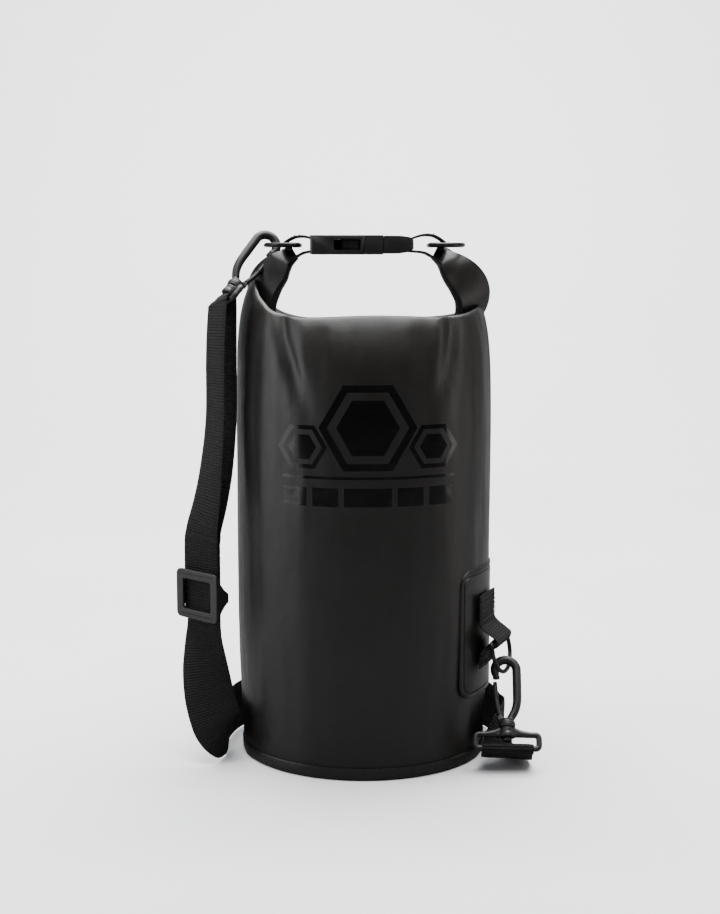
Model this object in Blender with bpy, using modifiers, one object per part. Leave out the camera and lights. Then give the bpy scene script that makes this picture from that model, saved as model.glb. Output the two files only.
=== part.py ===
"""Roll-top dry bag with a buckle closure, two top rings, a side ring and a clip-on shoulder strap.

Metres, +Z up, +X to the bag's right, +Y to its back. The origin is the middle of the base, on the
surface that the bag stands on.
"""

import math

import bmesh
import bpy
from mathutils import Matrix, Vector

# Driving dimensions
WEB_WIDTH = 0.037            # webbing is sold as 38 mm
WEB_THICK = 0.0018
GAP = 0.0003                 # between pieces that touch

BASE_RADIUS = 0.0905
BODY_RADIUS = 0.0940
BODY_TOP = 0.275             # where the round tube starts to flatten
RIDGE_HEIGHT = 0.3245        # fold of the front and back walls
WALL = 0.0015
DISC_THICK = 0.0022
RIM_HEIGHT = 0.009
RIM_THICK = 0.0013

BAND_WIDTH = 0.036
BAND_THICK = 0.009
CLOSURE_HEIGHT = 0.3755      # buckle and ring bars

RING_DEPTH = 0.0245          # bar to arc, wire middles
RING_HALF_WIDTH = 0.0208
RING_WIRE = 0.0016

BUCKLE_THICK = 0.0136
FEMALE_LEFT = -0.0385
FEMALE_RIGHT = 0.0143
FEMALE_HALF_WIDTH = 0.0245
CAVITY_HALF_WIDTH = 0.0212
CAVITY_HALF_HEIGHT = 0.0042
MALE_RIGHT = 0.0362
SLOT_HALF_WIDTH = 0.0198

HOOK_LENGTH = 0.058          # webbing bar to the middle of the eye
HOOK_EYE = 0.0080            # mean radius of the hook's arc
HOOK_WIRE = 0.0028
BASE_HALF = 0.0228           # swivel loop, middle of its end wires
BASE_WIRE = 0.0022
BASE_HEIGHT = 0.0100

PATCH_ANGLE = math.radians(-20)
PATCH_HALF_ANGLE = math.radians(23)
PATCH_LOW = 0.050
PATCH_HIGH = 0.144
TAB_ANGLE = math.radians(-21)

SLIDER_CENTRE = Vector((-0.1175, -0.0340, 0.1220))
SLIDER_YAW = math.radians(-44)


def clear_scene():
    for obj in list(bpy.data.objects):
        bpy.data.objects.remove(obj, do_unlink=True)


def collection(name):
    made = bpy.data.collections.new(name)
    bpy.context.scene.collection.children.link(made)
    return made


def material(name, colour, roughness, metallic=0.0):
    made = bpy.data.materials.get(name)
    if made:
        return made
    made = bpy.data.materials.new(name)
    made.use_nodes = True
    shader = made.node_tree.nodes["Principled BSDF"]
    shader.inputs["Base Color"].default_value = (*colour, 1.0)
    shader.inputs["Roughness"].default_value = roughness
    shader.inputs["Metallic"].default_value = metallic
    return made


def coated_fabric(name):
    return material(name + "_coated_fabric", (0.022, 0.021, 0.022), 0.45)


def webbing(name):
    return material(name + "_webbing", (0.016, 0.015, 0.013), 0.85)


def plastic(name):
    return material(name + "_plastic", (0.018, 0.018, 0.018), 0.40)


def painted_steel(name):
    return material(name + "_painted_steel", (0.020, 0.019, 0.018), 0.35, 0.6)


def add_mesh(name, bm, finish, parent_collection):
    mesh = bpy.data.meshes.new(name)
    bmesh.ops.recalc_face_normals(bm, faces=bm.faces)
    if bm.calc_volume(signed=True) < 0:
        bmesh.ops.reverse_faces(bm, faces=bm.faces)
    bm.to_mesh(mesh)
    bm.free()
    obj = bpy.data.objects.new(name, mesh)
    parent_collection.objects.link(obj)
    if finish:
        mesh.materials.append(finish)
    mesh.shade_smooth()
    mesh.set_sharp_from_angle(angle=math.radians(35))
    return obj


def from_curve(curve_obj, name, finish, parent_collection):
    """A mesh object with the curve's evaluated shape, its caps welded."""
    depsgraph = bpy.context.evaluated_depsgraph_get()
    mesh = bpy.data.meshes.new_from_object(curve_obj.evaluated_get(depsgraph))
    bm = bmesh.new()
    bm.from_mesh(mesh)
    bmesh.ops.remove_doubles(bm, verts=bm.verts, dist=0.00001)
    bm.transform(curve_obj.matrix_world)
    bpy.data.objects.remove(curve_obj, do_unlink=True)
    bpy.data.meshes.remove(mesh)
    return add_mesh(name, bm, finish, parent_collection)


def poly_curve(points, radius, cyclic=False, resolution=2):
    data = bpy.data.curves.new("wire", "CURVE")
    data.dimensions = "3D"
    data.bevel_depth = radius
    data.bevel_resolution = resolution
    data.use_fill_caps = not cyclic
    spline = data.splines.new("POLY")
    spline.points.add(len(points) - 1)
    for place, point in zip(spline.points, points):
        place.co = (*point, 1.0)
    spline.use_cyclic_u = cyclic
    obj = bpy.data.objects.new("wire", data)
    bpy.context.scene.collection.objects.link(obj)
    bpy.context.view_layer.update()
    return obj


def box(name, low, high, finish, parent_collection, bevel=0.0):
    bm = bmesh.new()
    bmesh.ops.create_cube(bm, size=1.0)
    low, high = Vector(low), Vector(high)
    size = high - low
    bm.transform(Matrix.Translation((low + high) / 2) @ Matrix.Diagonal((*size, 1.0)))
    obj = add_mesh(name, bm, finish, parent_collection)
    if bevel:
        rounded = obj.modifiers.new("bevel", "BEVEL")
        rounded.width = bevel
        rounded.segments = 2
        rounded.limit_method = "ANGLE"
    return obj


def prism(name, outline, low, high, finish, parent_collection):
    """An outline in X and Y, extruded from one height to another."""
    bm = bmesh.new()
    verts = [bm.verts.new((x, y, low)) for x, y in outline]
    face = bm.faces.new(verts)
    up = bmesh.ops.extrude_face_region(bm, geom=[face])
    top = [v for v in up["geom"] if isinstance(v, bmesh.types.BMVert)]
    bmesh.ops.translate(bm, verts=top, vec=(0, 0, high - low))
    return add_mesh(name, bm, finish, parent_collection)


def rod(start, end, radius, finish, parent_collection, name="rod", sides=16):
    start, end = Vector(start), Vector(end)
    along = end - start
    bm = bmesh.new()
    bmesh.ops.create_cone(bm, cap_ends=True, segments=sides, radius1=radius, radius2=radius,
                          depth=along.length)
    turn = along.to_track_quat("Z", "Y").to_matrix().to_4x4()
    bm.transform(Matrix.Translation((start + end) / 2) @ turn)
    return add_mesh(name, bm, finish, parent_collection)


def boolean(target, tool, operation):
    mod = target.modifiers.new(operation.lower(), "BOOLEAN")
    mod.operation = operation
    mod.solver = "EXACT"
    mod.object = tool
    tool.hide_render = True
    tool.display_type = "WIRE"


def catmull(points, per_span):
    """A smooth curve through points of any dimension, as tuples."""
    result = []
    last = len(points) - 1
    for i in range(last):
        p0 = points[max(i - 1, 0)]
        p1, p2 = points[i], points[i + 1]
        p3 = points[min(i + 2, last)]
        for k in range(per_span):
            t = k / per_span
            result.append(tuple(
                0.5 * (2 * b + (c - a) * t + (2 * a - 5 * b + 4 * c - d) * t * t
                       + (3 * b - a - 3 * c + d) * t ** 3)
                for a, b, c, d in zip(p0, p1, p2, p3)))
    result.append(tuple(points[last]))
    return result


def loft(name, rings, finish, parent_collection, capped=True):
    """Joins closed rings of equal length with quads."""
    bm = bmesh.new()
    rows = [[bm.verts.new(p) for p in ring] for ring in rings]
    count = len(rows[0])
    for a, b in zip(rows, rows[1:]):
        for k in range(count):
            bm.faces.new((a[k], a[(k + 1) % count], b[(k + 1) % count], b[k]))
    if capped:
        bm.faces.new(rows[0])
        bm.faces.new(rows[-1])
    return add_mesh(name, bm, finish, parent_collection)


def ribbon(name, stations, thick, finish, parent_collection, width=WEB_WIDTH):
    """Flat webbing along stations of (x, y, z, wx, wy, wz): its middle and its width direction."""
    places = [Vector(s[:3]) for s in stations]
    rings = []
    for i, place in enumerate(places):
        along = (places[min(i + 1, len(places) - 1)] - places[max(i - 1, 0)]).normalized()
        across = Vector(stations[i][3:])
        across = (across - along * across.dot(along)).normalized()
        face = along.cross(across)
        half, rise = across * width / 2, face * thick / 2
        rings.append([place + half + rise, place + half - rise,
                      place - half - rise, place - half + rise])
    return loft(name, rings, finish, parent_collection)


def body_ring(half_width, half_depth, height, lift=0.0, back_drop=0.0, steps=48):
    """One level of the tube, with its left and right sides lifted and its back lowered."""
    ring = []
    for k in range(steps):
        angle = 2 * math.pi * k / steps
        c, s = math.cos(angle), math.sin(angle)
        z = height + lift * c ** 4 - back_drop * max(s, 0.0) ** 2
        ring.append(Vector((half_width * c, half_depth * s, z)))
    return ring


def build_tube(parts):
    """Fabric tube: round below, folded in along the front and back ridges above, open at its mouth."""
    foot = DISC_THICK + GAP
    levels = [body_ring(BASE_RADIUS - 0.0015, BASE_RADIUS - 0.0015, foot),
              body_ring(BASE_RADIUS, BASE_RADIUS, RIM_HEIGHT)]
    for height in (0.03, 0.06, 0.10, 0.16, 0.22):
        radius = BODY_RADIUS - 0.0035 * (1 - min(height / 0.10, 1)) ** 1.5
        levels.append(body_ring(radius, radius, height))
    levels += [
        body_ring(BODY_RADIUS, BODY_RADIUS, BODY_TOP),
        body_ring(0.0930, 0.0910, 0.300, 0, 0.0010),
        body_ring(0.0915, 0.0870, 0.314, 0.001, 0.0035),
        body_ring(0.0900, 0.0820, 0.3215, 0.001, 0.0050),
        body_ring(0.0890, 0.0780, RIDGE_HEIGHT, -0.001, 0.0055),
        body_ring(0.0870, 0.0715, 0.3240, -0.003, 0.0055),
        body_ring(0.0840, 0.0580, 0.3190, -0.003, 0.0040),
        body_ring(0.0790, 0.0400, 0.3080, 0.002, 0.0020),
        body_ring(0.0730, 0.0220, 0.2985, 0.008),
        body_ring(0.0680, 0.0060, 0.2925, 0.012),
    ]
    obj = loft("bag_tube", levels, coated_fabric("bag_tube"), parts, capped=False)
    shell = obj.modifiers.new("wall", "SOLIDIFY")
    shell.thickness = WALL
    shell.offset = -1.0
    shell.use_even_offset = False


def build_base(parts):
    """Welded base: a round disc and the tape round its rim."""
    bm = bmesh.new()
    bmesh.ops.create_cone(bm, cap_ends=True, segments=64, radius1=BASE_RADIUS, radius2=BASE_RADIUS,
                          depth=DISC_THICK)
    bmesh.ops.translate(bm, verts=bm.verts, vec=(0, 0, DISC_THICK / 2))
    add_mesh("base_disc", bm, coated_fabric("base_disc"), parts)
    inner = BASE_RADIUS + GAP
    profile = [(inner + RIM_THICK, RIM_HEIGHT), (inner + RIM_THICK, 0.0006),
               (inner, 0.0006), (inner, RIM_HEIGHT)]
    turned("base_rim", profile, coated_fabric("base_rim"), parts)


def turned(name, profile, finish, parts, steps=64):
    """A closed profile of (radius, height), turned about Z."""
    mesh = bpy.data.meshes.new(name)
    bm = bmesh.new()
    verts = [bm.verts.new((r, 0, z)) for r, z in profile]
    for a, b in zip(verts, verts[1:] + verts[:1]):
        bm.edges.new((a, b))
    bm.to_mesh(mesh)
    bm.free()
    mesh.materials.append(finish)
    obj = bpy.data.objects.new(name, mesh)
    parts.objects.link(obj)
    screw = obj.modifiers.new("turn", "SCREW")
    screw.steps = steps
    screw.render_steps = steps
    screw.use_merge_vertices = True
    screw.merge_threshold = 0.0001
    screw.use_normal_calculate = True
    screw.use_normal_flip = True
    return obj


def curved_panel(name, middle, half_angle, low, high, inner, thick, finish, parts, corner=0.012):
    """A rounded rectangle that wraps round the tube, from an angle's middle."""
    columns, rows = 13, 9
    bm = bmesh.new()
    half_height = (high - low) / 2
    half_arc = half_angle * inner
    grid = {}
    for layer, radius in enumerate((inner, inner + thick)):
        for i in range(columns):
            u = -1 + 2 * i / (columns - 1)
            inset = max(0.0, abs(u) * half_arc - (half_arc - corner))
            drop = corner - math.sqrt(max(corner ** 2 - inset ** 2, 0.0))
            for j in range(rows):
                v = -1 + 2 * j / (rows - 1)
                angle = middle + u * half_angle
                height = (low + high) / 2 + v * (half_height - drop * 0.999)
                grid[layer, i, j] = bm.verts.new(
                    (radius * math.cos(angle), radius * math.sin(angle), height))
    for layer in (0, 1):
        for i in range(columns - 1):
            for j in range(rows - 1):
                bm.faces.new([grid[layer, i, j], grid[layer, i + 1, j],
                              grid[layer, i + 1, j + 1], grid[layer, i, j + 1]])
    edge = [(i, 0) for i in range(columns)] + [(columns - 1, j) for j in range(1, rows)]
    edge += [(i, rows - 1) for i in range(columns - 2, -1, -1)] + [(0, j) for j in range(rows - 2, 0, -1)]
    for a, b in zip(edge, edge[1:] + edge[:1]):
        bm.faces.new([grid[0, a[0], a[1]], grid[0, b[0], b[1]],
                      grid[1, b[0], b[1]], grid[1, a[0], a[1]]])
    return add_mesh(name, bm, finish, parts)


# Middle line of the rolled band in X and Z, left tip to right tip, with its twist in degrees and width
BAND_LEFT = [(-0.0520, 0.3700, -4, 0.026), (-0.0585, 0.3650, -18, 0.030), (-0.0665, 0.3550, -24, 0.034),
             (-0.0730, 0.3400, -16, 0.036), (-0.0710, 0.3250, -6, 0.036), (-0.0590, 0.3135, 0, 0.036),
             (-0.0340, 0.3045, 0, 0.036)]
BAND_MIDDLE = [(0.0, 0.3020, 0, 0.036)]
BAND_RIGHT = [(0.0350, 0.3045, 0, 0.036), (0.0610, 0.3135, 0, 0.036), (0.0735, 0.3250, -6, 0.036),
              (0.0765, 0.3400, -16, 0.036), (0.0690, 0.3550, -24, 0.034), (0.0600, 0.3650, -18, 0.030),
              (0.0535, 0.3700, -4, 0.026)]
EAR_SPLIT_HEIGHT = 0.3440    # the right tip moves above this height, so its cut is level


def band_section(here, ahead, thick, sides=((1, 0.5), (0.8, 1), (-0.8, 1), (-1, 0.5),
                                            (-1, -0.5), (-0.8, -1), (0.8, -1), (1, -0.5))):
    x, z, twist, width = here
    along = Vector((ahead[0], 0, ahead[1])).normalized()
    outward = Vector((-along.z, 0, along.x)) * -1
    turn = Matrix.Rotation(math.radians(twist), 3, along)
    across = turn @ Vector((0, 1, 0))
    outward = turn @ outward
    middle = Vector((x, 0, z))
    return [middle + across * width / 2 * u + outward * thick / 2 * v for u, v in sides]


def band_rings(points, thick):
    line = catmull(points, 3)
    rings = []
    for i, here in enumerate(line):
        before, after = line[max(i - 1, 0)], line[min(i + 1, len(line) - 1)]
        rings.append(band_section(here, (after[0] - before[0], after[1] - before[1]), thick))
    return line, rings


def build_band(parts):
    """The rolled top: its left arm and middle are one piece, its right tip moves with the buckle."""
    line, rings = band_rings(BAND_LEFT + BAND_MIDDLE + BAND_RIGHT, BAND_THICK)
    rolled = loft("rolled_top", rings, coated_fabric("rolled_top"), parts)
    ear = loft("right_ear", rings[len(rings) * 2 // 3:], coated_fabric("right_ear"), parts)
    above = box("cut_above", (0.03, -0.05, EAR_SPLIT_HEIGHT), (0.12, 0.05, 0.42), None, CUTTERS)
    below = box("cut_below", (0.03, -0.05, 0.28), (0.12, 0.05, EAR_SPLIT_HEIGHT + 2 * GAP), None, CUTTERS)
    boolean(rolled, above, "DIFFERENCE")
    boolean(ear, below, "DIFFERENCE")
    middle = [p for p in line if abs(p[0]) < 0.062 and p[1] < 0.315]
    strip = [(x, 0, z, 0, 1, 0) for x, z, _, _ in middle]
    slot = ribbon("band_slot", strip, 0.0026, None, CUTTERS, width=0.0270)
    boolean(rolled, slot, "DIFFERENCE")
    mouth = box("band_mouth", (-0.004, 0.005, 0.3008), (0.004, 0.024, 0.3032), None, CUTTERS)
    boolean(rolled, mouth, "DIFFERENCE")
    ribbon("stiffener_strip", strip[1:-1], 0.0016, plastic("stiffener_strip"), parts, width=0.0250)


def d_ring(name, bar_middle, bar_way, arc_way, parts, depth=RING_DEPTH):
    """A wire ring: straight bar along bar_way, rounded arc towards arc_way."""
    bar_way, arc_way = Vector(bar_way).normalized(), Vector(arc_way)
    arc_way = (arc_way - bar_way * arc_way.dot(bar_way)).normalized()
    middle = Vector(bar_middle)
    corner = 0.0040
    flat = [(-RING_HALF_WIDTH + corner, 0.0), (0.0, 0.0), (RING_HALF_WIDTH - corner, 0.0)]
    for k in range(1, 4):
        a = -math.pi / 2 + k * math.pi / 6
        flat.append((RING_HALF_WIDTH - corner + corner * math.cos(a), corner + corner * math.sin(a)))
    for k in range(13):
        a = math.pi * k / 12
        flat.append((RING_HALF_WIDTH * math.cos(a), 0.0080 + (depth - 0.0080) * math.sin(a)))
    for k in range(3):
        a = math.pi + k * math.pi / 6
        flat.append((-RING_HALF_WIDTH + corner + corner * math.cos(a), corner + corner * math.sin(a)))
    points = [middle + bar_way * u + arc_way * v for u, v in flat]
    wire = poly_curve(points, RING_WIRE, cyclic=True)
    return from_curve(wire, name, painted_steel(name), parts)


def end_webbing(name, top, bar, way, under, parts):
    """Webbing that is sewn over a band tip, holds the ring's bar and passes round a buckle bar."""
    turn = []
    for k in range(7):
        a = math.radians(90 - 30 * k)
        turn.append((bar + way * 0.0052 * math.cos(a), CLOSURE_HEIGHT + 0.0045 * math.sin(a)))
    path = catmull([(x, 0, z) for x, z in top + turn + under], 3)
    ribbon(name, [(*p, 0, 1, 0) for p in path], WEB_THICK, webbing(name), parts, width=0.0350)


def build_end_webbings(parts):
    end_webbing("left_end_webbing", [(-0.0590, 0.3755), (-0.0555, 0.3784), (-0.0500, 0.3812),
                                     (-0.0430, 0.3816)],
                FEMALE_LEFT + 0.0016, 1, [(-0.0430, 0.3702), (-0.0480, 0.3686)], parts)
    end_webbing("right_end_webbing", [(0.0605, 0.3757), (0.0572, 0.3788), (0.0510, 0.3822),
                                      (0.0430, 0.3826)],
                MALE_RIGHT - 0.0016, -1, [(0.0430, 0.3704), (0.0485, 0.3688)], parts)


def build_female(parts):
    """Socket half of the side-release buckle, open at its right end and at both side windows."""
    half = BUCKLE_THICK / 2
    mid = CLOSURE_HEIGHT
    shell = box("buckle_female", (FEMALE_LEFT, -FEMALE_HALF_WIDTH, mid - half),
                (FEMALE_RIGHT, FEMALE_HALF_WIDTH, mid + half), plastic("buckle_female"), parts)
    tools = [
        box("cut_throat", (-0.0225, -CAVITY_HALF_WIDTH, mid - CAVITY_HALF_HEIGHT),
            (FEMALE_RIGHT + 0.01, CAVITY_HALF_WIDTH, mid + CAVITY_HALF_HEIGHT), None, CUTTERS),
        box("cut_windows", (-0.0190, -FEMALE_HALF_WIDTH - 0.01, mid - CAVITY_HALF_HEIGHT - 0.0006),
            (0.0015, FEMALE_HALF_WIDTH + 0.01, mid + CAVITY_HALF_HEIGHT + 0.0006), None, CUTTERS),
        box("cut_slot_left", (FEMALE_LEFT + 0.0034, -SLOT_HALF_WIDTH, mid - 0.02),
            (-0.0285, SLOT_HALF_WIDTH, mid + 0.02), None, CUTTERS),
        box("thin_above", (FEMALE_LEFT - 0.01, -SLOT_HALF_WIDTH, mid + 0.0026),
            (-0.0320, SLOT_HALF_WIDTH, mid + 0.02), None, CUTTERS),
        box("thin_below", (FEMALE_LEFT - 0.01, -SLOT_HALF_WIDTH, mid - 0.02),
            (-0.0320, SLOT_HALF_WIDTH, mid - 0.0026), None, CUTTERS),
    ]
    for tool in tools:
        boolean(shell, tool, "DIFFERENCE")


def build_male(parts):
    """Plug half of the buckle: bar end, guide tongue and two sprung prongs."""
    half = BUCKLE_THICK / 2 - 0.0008
    mid = CLOSURE_HEIGHT
    left = FEMALE_RIGHT + 0.0005
    block = prism("buckle_male", [(left, -0.0235), (0.0245, -0.0225), (MALE_RIGHT, -0.0205),
                                  (MALE_RIGHT, 0.0205), (0.0245, 0.0225), (left, 0.0235)],
                  mid - half, mid + half, plastic("buckle_male"), parts)
    tongue = box("add_tongue", (-0.0160, -0.0050, mid - 0.0016), (left + 0.004, 0.0050, mid + 0.0016),
                 None, CUTTERS)
    boolean(block, tongue, "UNION")
    slot = box("cut_slot_right", (0.0270, -0.0188, mid - 0.02), (MALE_RIGHT - 0.0034, 0.0188, mid + 0.02),
               None, CUTTERS)
    above = box("thin_male_above", (0.0300, -0.0188, mid + 0.0026), (MALE_RIGHT + 0.01, 0.0188, mid + 0.02),
                None, CUTTERS)
    below = box("thin_male_below", (0.0300, -0.0188, mid - 0.02), (MALE_RIGHT + 0.01, 0.0188, mid - 0.0026),
                None, CUTTERS)
    for tool in (slot, above, below):
        boolean(block, tool, "DIFFERENCE")
    root = left - GAP
    for side, name in ((-1, "prong_front"), (1, "prong_back")):
        outline = [(root, 0.0125), (root, 0.0160), (-0.0010, 0.0182), (-0.0030, 0.0206),
                   (-0.0165, 0.0208), (-0.0192, 0.0180), (-0.0185, 0.0165), (-0.0060, 0.0160)]
        prism(name, [(x, side * y) for x, y in outline], mid - 0.0036, mid + 0.0036,
              plastic(name), parts)


def set_origin(obj, point):
    """Moves an object's origin to a point, such as its joint's axis, and leaves its shape in place."""
    point = Vector(point)
    obj.data.transform(Matrix.Translation(-point))
    obj.location = point
    return obj


def radial(angle, radius, height):
    return Vector((radius * math.cos(angle), radius * math.sin(angle), height))


def build_side_patch(parts):
    """Welded patch on the right side with a sewn webbing tab that holds the side ring."""
    outside = BODY_RADIUS + GAP
    curved_panel("side_patch", PATCH_ANGLE, PATCH_HALF_ANGLE, PATCH_LOW, PATCH_HIGH, outside, 0.0012,
                 coated_fabric("side_patch"), parts)
    lap = outside + 0.0012 + GAP + WEB_THICK / 2
    profile = [(lap + 0.0002, 0.1240), (lap, 0.1120), (lap + 0.0010, 0.1020),
               (SIDE_BAR_RADIUS + 0.0006, SIDE_BAR_HEIGHT + 0.0042),
               (SIDE_BAR_RADIUS + 0.0040, SIDE_BAR_HEIGHT + 0.0012),
               (SIDE_BAR_RADIUS + 0.0022, SIDE_BAR_HEIGHT - 0.0035),
               (lap + 0.0030, 0.0850), (lap + 0.0006, 0.0800), (lap + 0.0002, 0.0710)]
    across = (-math.sin(TAB_ANGLE), math.cos(TAB_ANGLE), 0)
    path = [(*radial(TAB_ANGLE, *p), *across) for p in catmull(profile, 4)]
    tab = ribbon("patch_tab", path, WEB_THICK, webbing("patch_tab"), parts)
    relief = bmesh.new()
    bmesh.ops.create_cone(relief, cap_ends=True, segments=96, radius1=outside + 0.0012 + GAP,
                          radius2=outside + 0.0012 + GAP, depth=0.08)
    bmesh.ops.translate(relief, verts=relief.verts, vec=(0, 0, 0.098))
    boolean(tab, add_mesh("tab_relief", relief, None, CUTTERS), "DIFFERENCE")


SIDE_BAR_RADIUS = 0.1060     # the side ring's bar, from the bag's axis
SIDE_BAR_HEIGHT = 0.0905
SIDE_BAR = radial(TAB_ANGLE, SIDE_BAR_RADIUS, SIDE_BAR_HEIGHT)
SIDE_EYE = SIDE_BAR + Vector((0.0050, -0.0019, -0.0239))

UPPER_BAR = Vector((-0.0470, 0, CLOSURE_HEIGHT))
UPPER_EYE = UPPER_BAR + Vector((-RING_DEPTH, 0, 0))
UPPER_AXIS = Vector((0.520, 0.449, 0.727)).normalized()
UPPER_SPINE = Vector((-0.814, 0, 0.582))
UPPER_BASE_WAY = Vector((0.436, -0.871, 0.227))
LOWER_AXIS = Vector((0.017, 0.540, 0.8415)).normalized()
LOWER_SPINE = Vector((1, 0, -0.0202))
LOWER_BASE_WAY = Vector((-1, 0, 0.0202))
RIGHT_BAR = Vector((0.0485, 0, CLOSURE_HEIGHT))


def build_rings(parts):
    set_origin(d_ring("left_ring", UPPER_BAR, (0, 1, 0), (-1, 0, 0), parts), UPPER_BAR)
    set_origin(d_ring("right_ring", RIGHT_BAR, (0, 1, 0), (1, 0, 0), parts), RIGHT_BAR)
    tangent = (-math.sin(TAB_ANGLE), math.cos(TAB_ANGLE), 0)
    set_origin(d_ring("side_ring", SIDE_BAR, tangent, SIDE_EYE - SIDE_BAR, parts), SIDE_BAR)


def build_swivel_base(name, bar, axis, way, parts):
    """Loop that the webbing passes round, with a boss for the hook's stem."""
    way = (way - axis * way.dot(axis)).normalized()
    corner = 0.0026
    flat = []
    for cx, cy, start in ((BASE_HALF, 0.0, -90), (BASE_HALF, BASE_HEIGHT, 0),
                          (-BASE_HALF, BASE_HEIGHT, 90), (-BASE_HALF, 0.0, 180)):
        inner_x = cx - math.copysign(corner, cx)
        inner_y = cy + (corner if cy == 0 else -corner)
        for k in range(3):
            a = math.radians(start + 45 * k)
            flat.append((inner_x + corner * math.cos(a), inner_y + corner * math.sin(a)))
    points = [bar + way * u + axis * v for u, v in flat]
    loop = from_curve(poly_curve(points, BASE_WIRE, cyclic=True), name, plastic(name), parts)
    boss = rod(bar + axis * 0.0078, bar + axis * 0.0148, 0.0054, None, CUTTERS, name + "_boss", 20)
    bore = rod(bar + axis * 0.0010, bar + axis * 0.0160, 0.0025, None, CUTTERS, name + "_bore", 16)
    bore.data.transform(Matrix.Translation(axis * 0.0040))
    boolean(loop, boss, "UNION")
    boolean(loop, bore, "DIFFERENCE")


def build_hook(name, bar, axis, spine, parts):
    """Snap hook: swivel stem, collar, spine and arc in one piece, and its gate."""
    def place(u, v):
        return bar + spine * u + axis * v
    points = [(0.0010, 0.0185), (0.0032, 0.0225), (0.0062, 0.0280), (0.0078, 0.0350), (0.0080, 0.0460)]
    for k in range(13):
        a = math.radians(210 * k / 12)
        points.append((HOOK_EYE * math.cos(a), HOOK_LENGTH + HOOK_EYE * math.sin(a)))
    wire = poly_curve([place(u, v) for u, v in points], HOOK_WIRE)
    hook = from_curve(wire, name + "_hook", plastic(name + "_hook"), parts)
    pieces = [rod(place(0, 0.0152), place(0, 0.0214), 0.0062, None, CUTTERS, name + "_collar", 20),
              rod(place(0, 0.0060), place(0, 0.0160), 0.0021, None, CUTTERS, name + "_stem", 12),
              rod(place(0, 0.0050), place(0, 0.0072), 0.0036, None, CUTTERS, name + "_stem_head", 12)]
    for piece in pieces:
        boolean(hook, piece, "UNION")
    pivot = place(-0.0046, 0.0240)
    gate_points = [(-0.0046, 0.0240), (-0.0066, 0.0310), (-0.0077, 0.0400), (-0.0079, 0.0490)]
    gate = from_curve(poly_curve([place(u, v) for u, v in gate_points], 0.0017), name + "_gate",
                      plastic(name + "_gate"), parts)
    set_origin(gate, pivot)


def wrap(bar, across, outward, radius, start, end, steps=8):
    """Stations of webbing round a bar: from an angle to an angle, 0 at outward, 90 on top."""
    across = across.normalized()
    outward = (outward - across * outward.dot(across)).normalized()
    up = across.cross(outward)
    if up.z < 0:
        up = -up
    stations = []
    for k in range(steps + 1):
        a = math.radians(start + (end - start) * k / steps)
        place = bar + outward * radius * math.cos(a) + up * radius * math.sin(a)
        stations.append((*place, *across))
    return stations


STRAP_FACE = Vector((-math.sin(-SLIDER_YAW), -math.cos(SLIDER_YAW), 0))
STRAP_ACROSS = Vector((math.cos(SLIDER_YAW), math.sin(SLIDER_YAW), 0))
LAYER = (WEB_THICK + GAP) / 2
TURN_RADIUS = BASE_WIRE + GAP + WEB_THICK / 2 + 0.0004


# Hanging strap by height: its middle in X and Y, its turn about Z in degrees, half its layers' spacing
HANG = [(0.1000, -0.1175, -0.0340, -44, LAYER), (0.1600, -0.1175, -0.0340, -44, LAYER),
        (0.1720, -0.1157, -0.0337, -48, 0.0017), (0.1900, -0.1112, -0.0325, -54, 0.0030),
        (0.2150, -0.1067, -0.0305, -60, 0.0042), (0.2500, -0.1032, -0.0290, -64, 0.0046),
        (0.2900, -0.1027, -0.0280, -64, 0.0046), (0.3150, -0.1022, -0.0270, -64, 0.0042)]


def hanging(side, height):
    """A station of the hanging strap: the outer layer's for side 1, the inner layer's for -1."""
    below, above = next((a, b) for a, b in zip(HANG, HANG[1:]) if height <= b[0])
    t = (height - below[0]) / (above[0] - below[0])
    x, y, yaw, apart = (a + (b - a) * t for a, b in zip(below[1:], above[1:]))
    across = Vector((math.cos(math.radians(yaw)), math.sin(math.radians(yaw)), 0))
    face = Vector((across.y, -across.x, 0))
    place = Vector((x, y, height)) + face * apart * side
    return (*place, *across)


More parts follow.
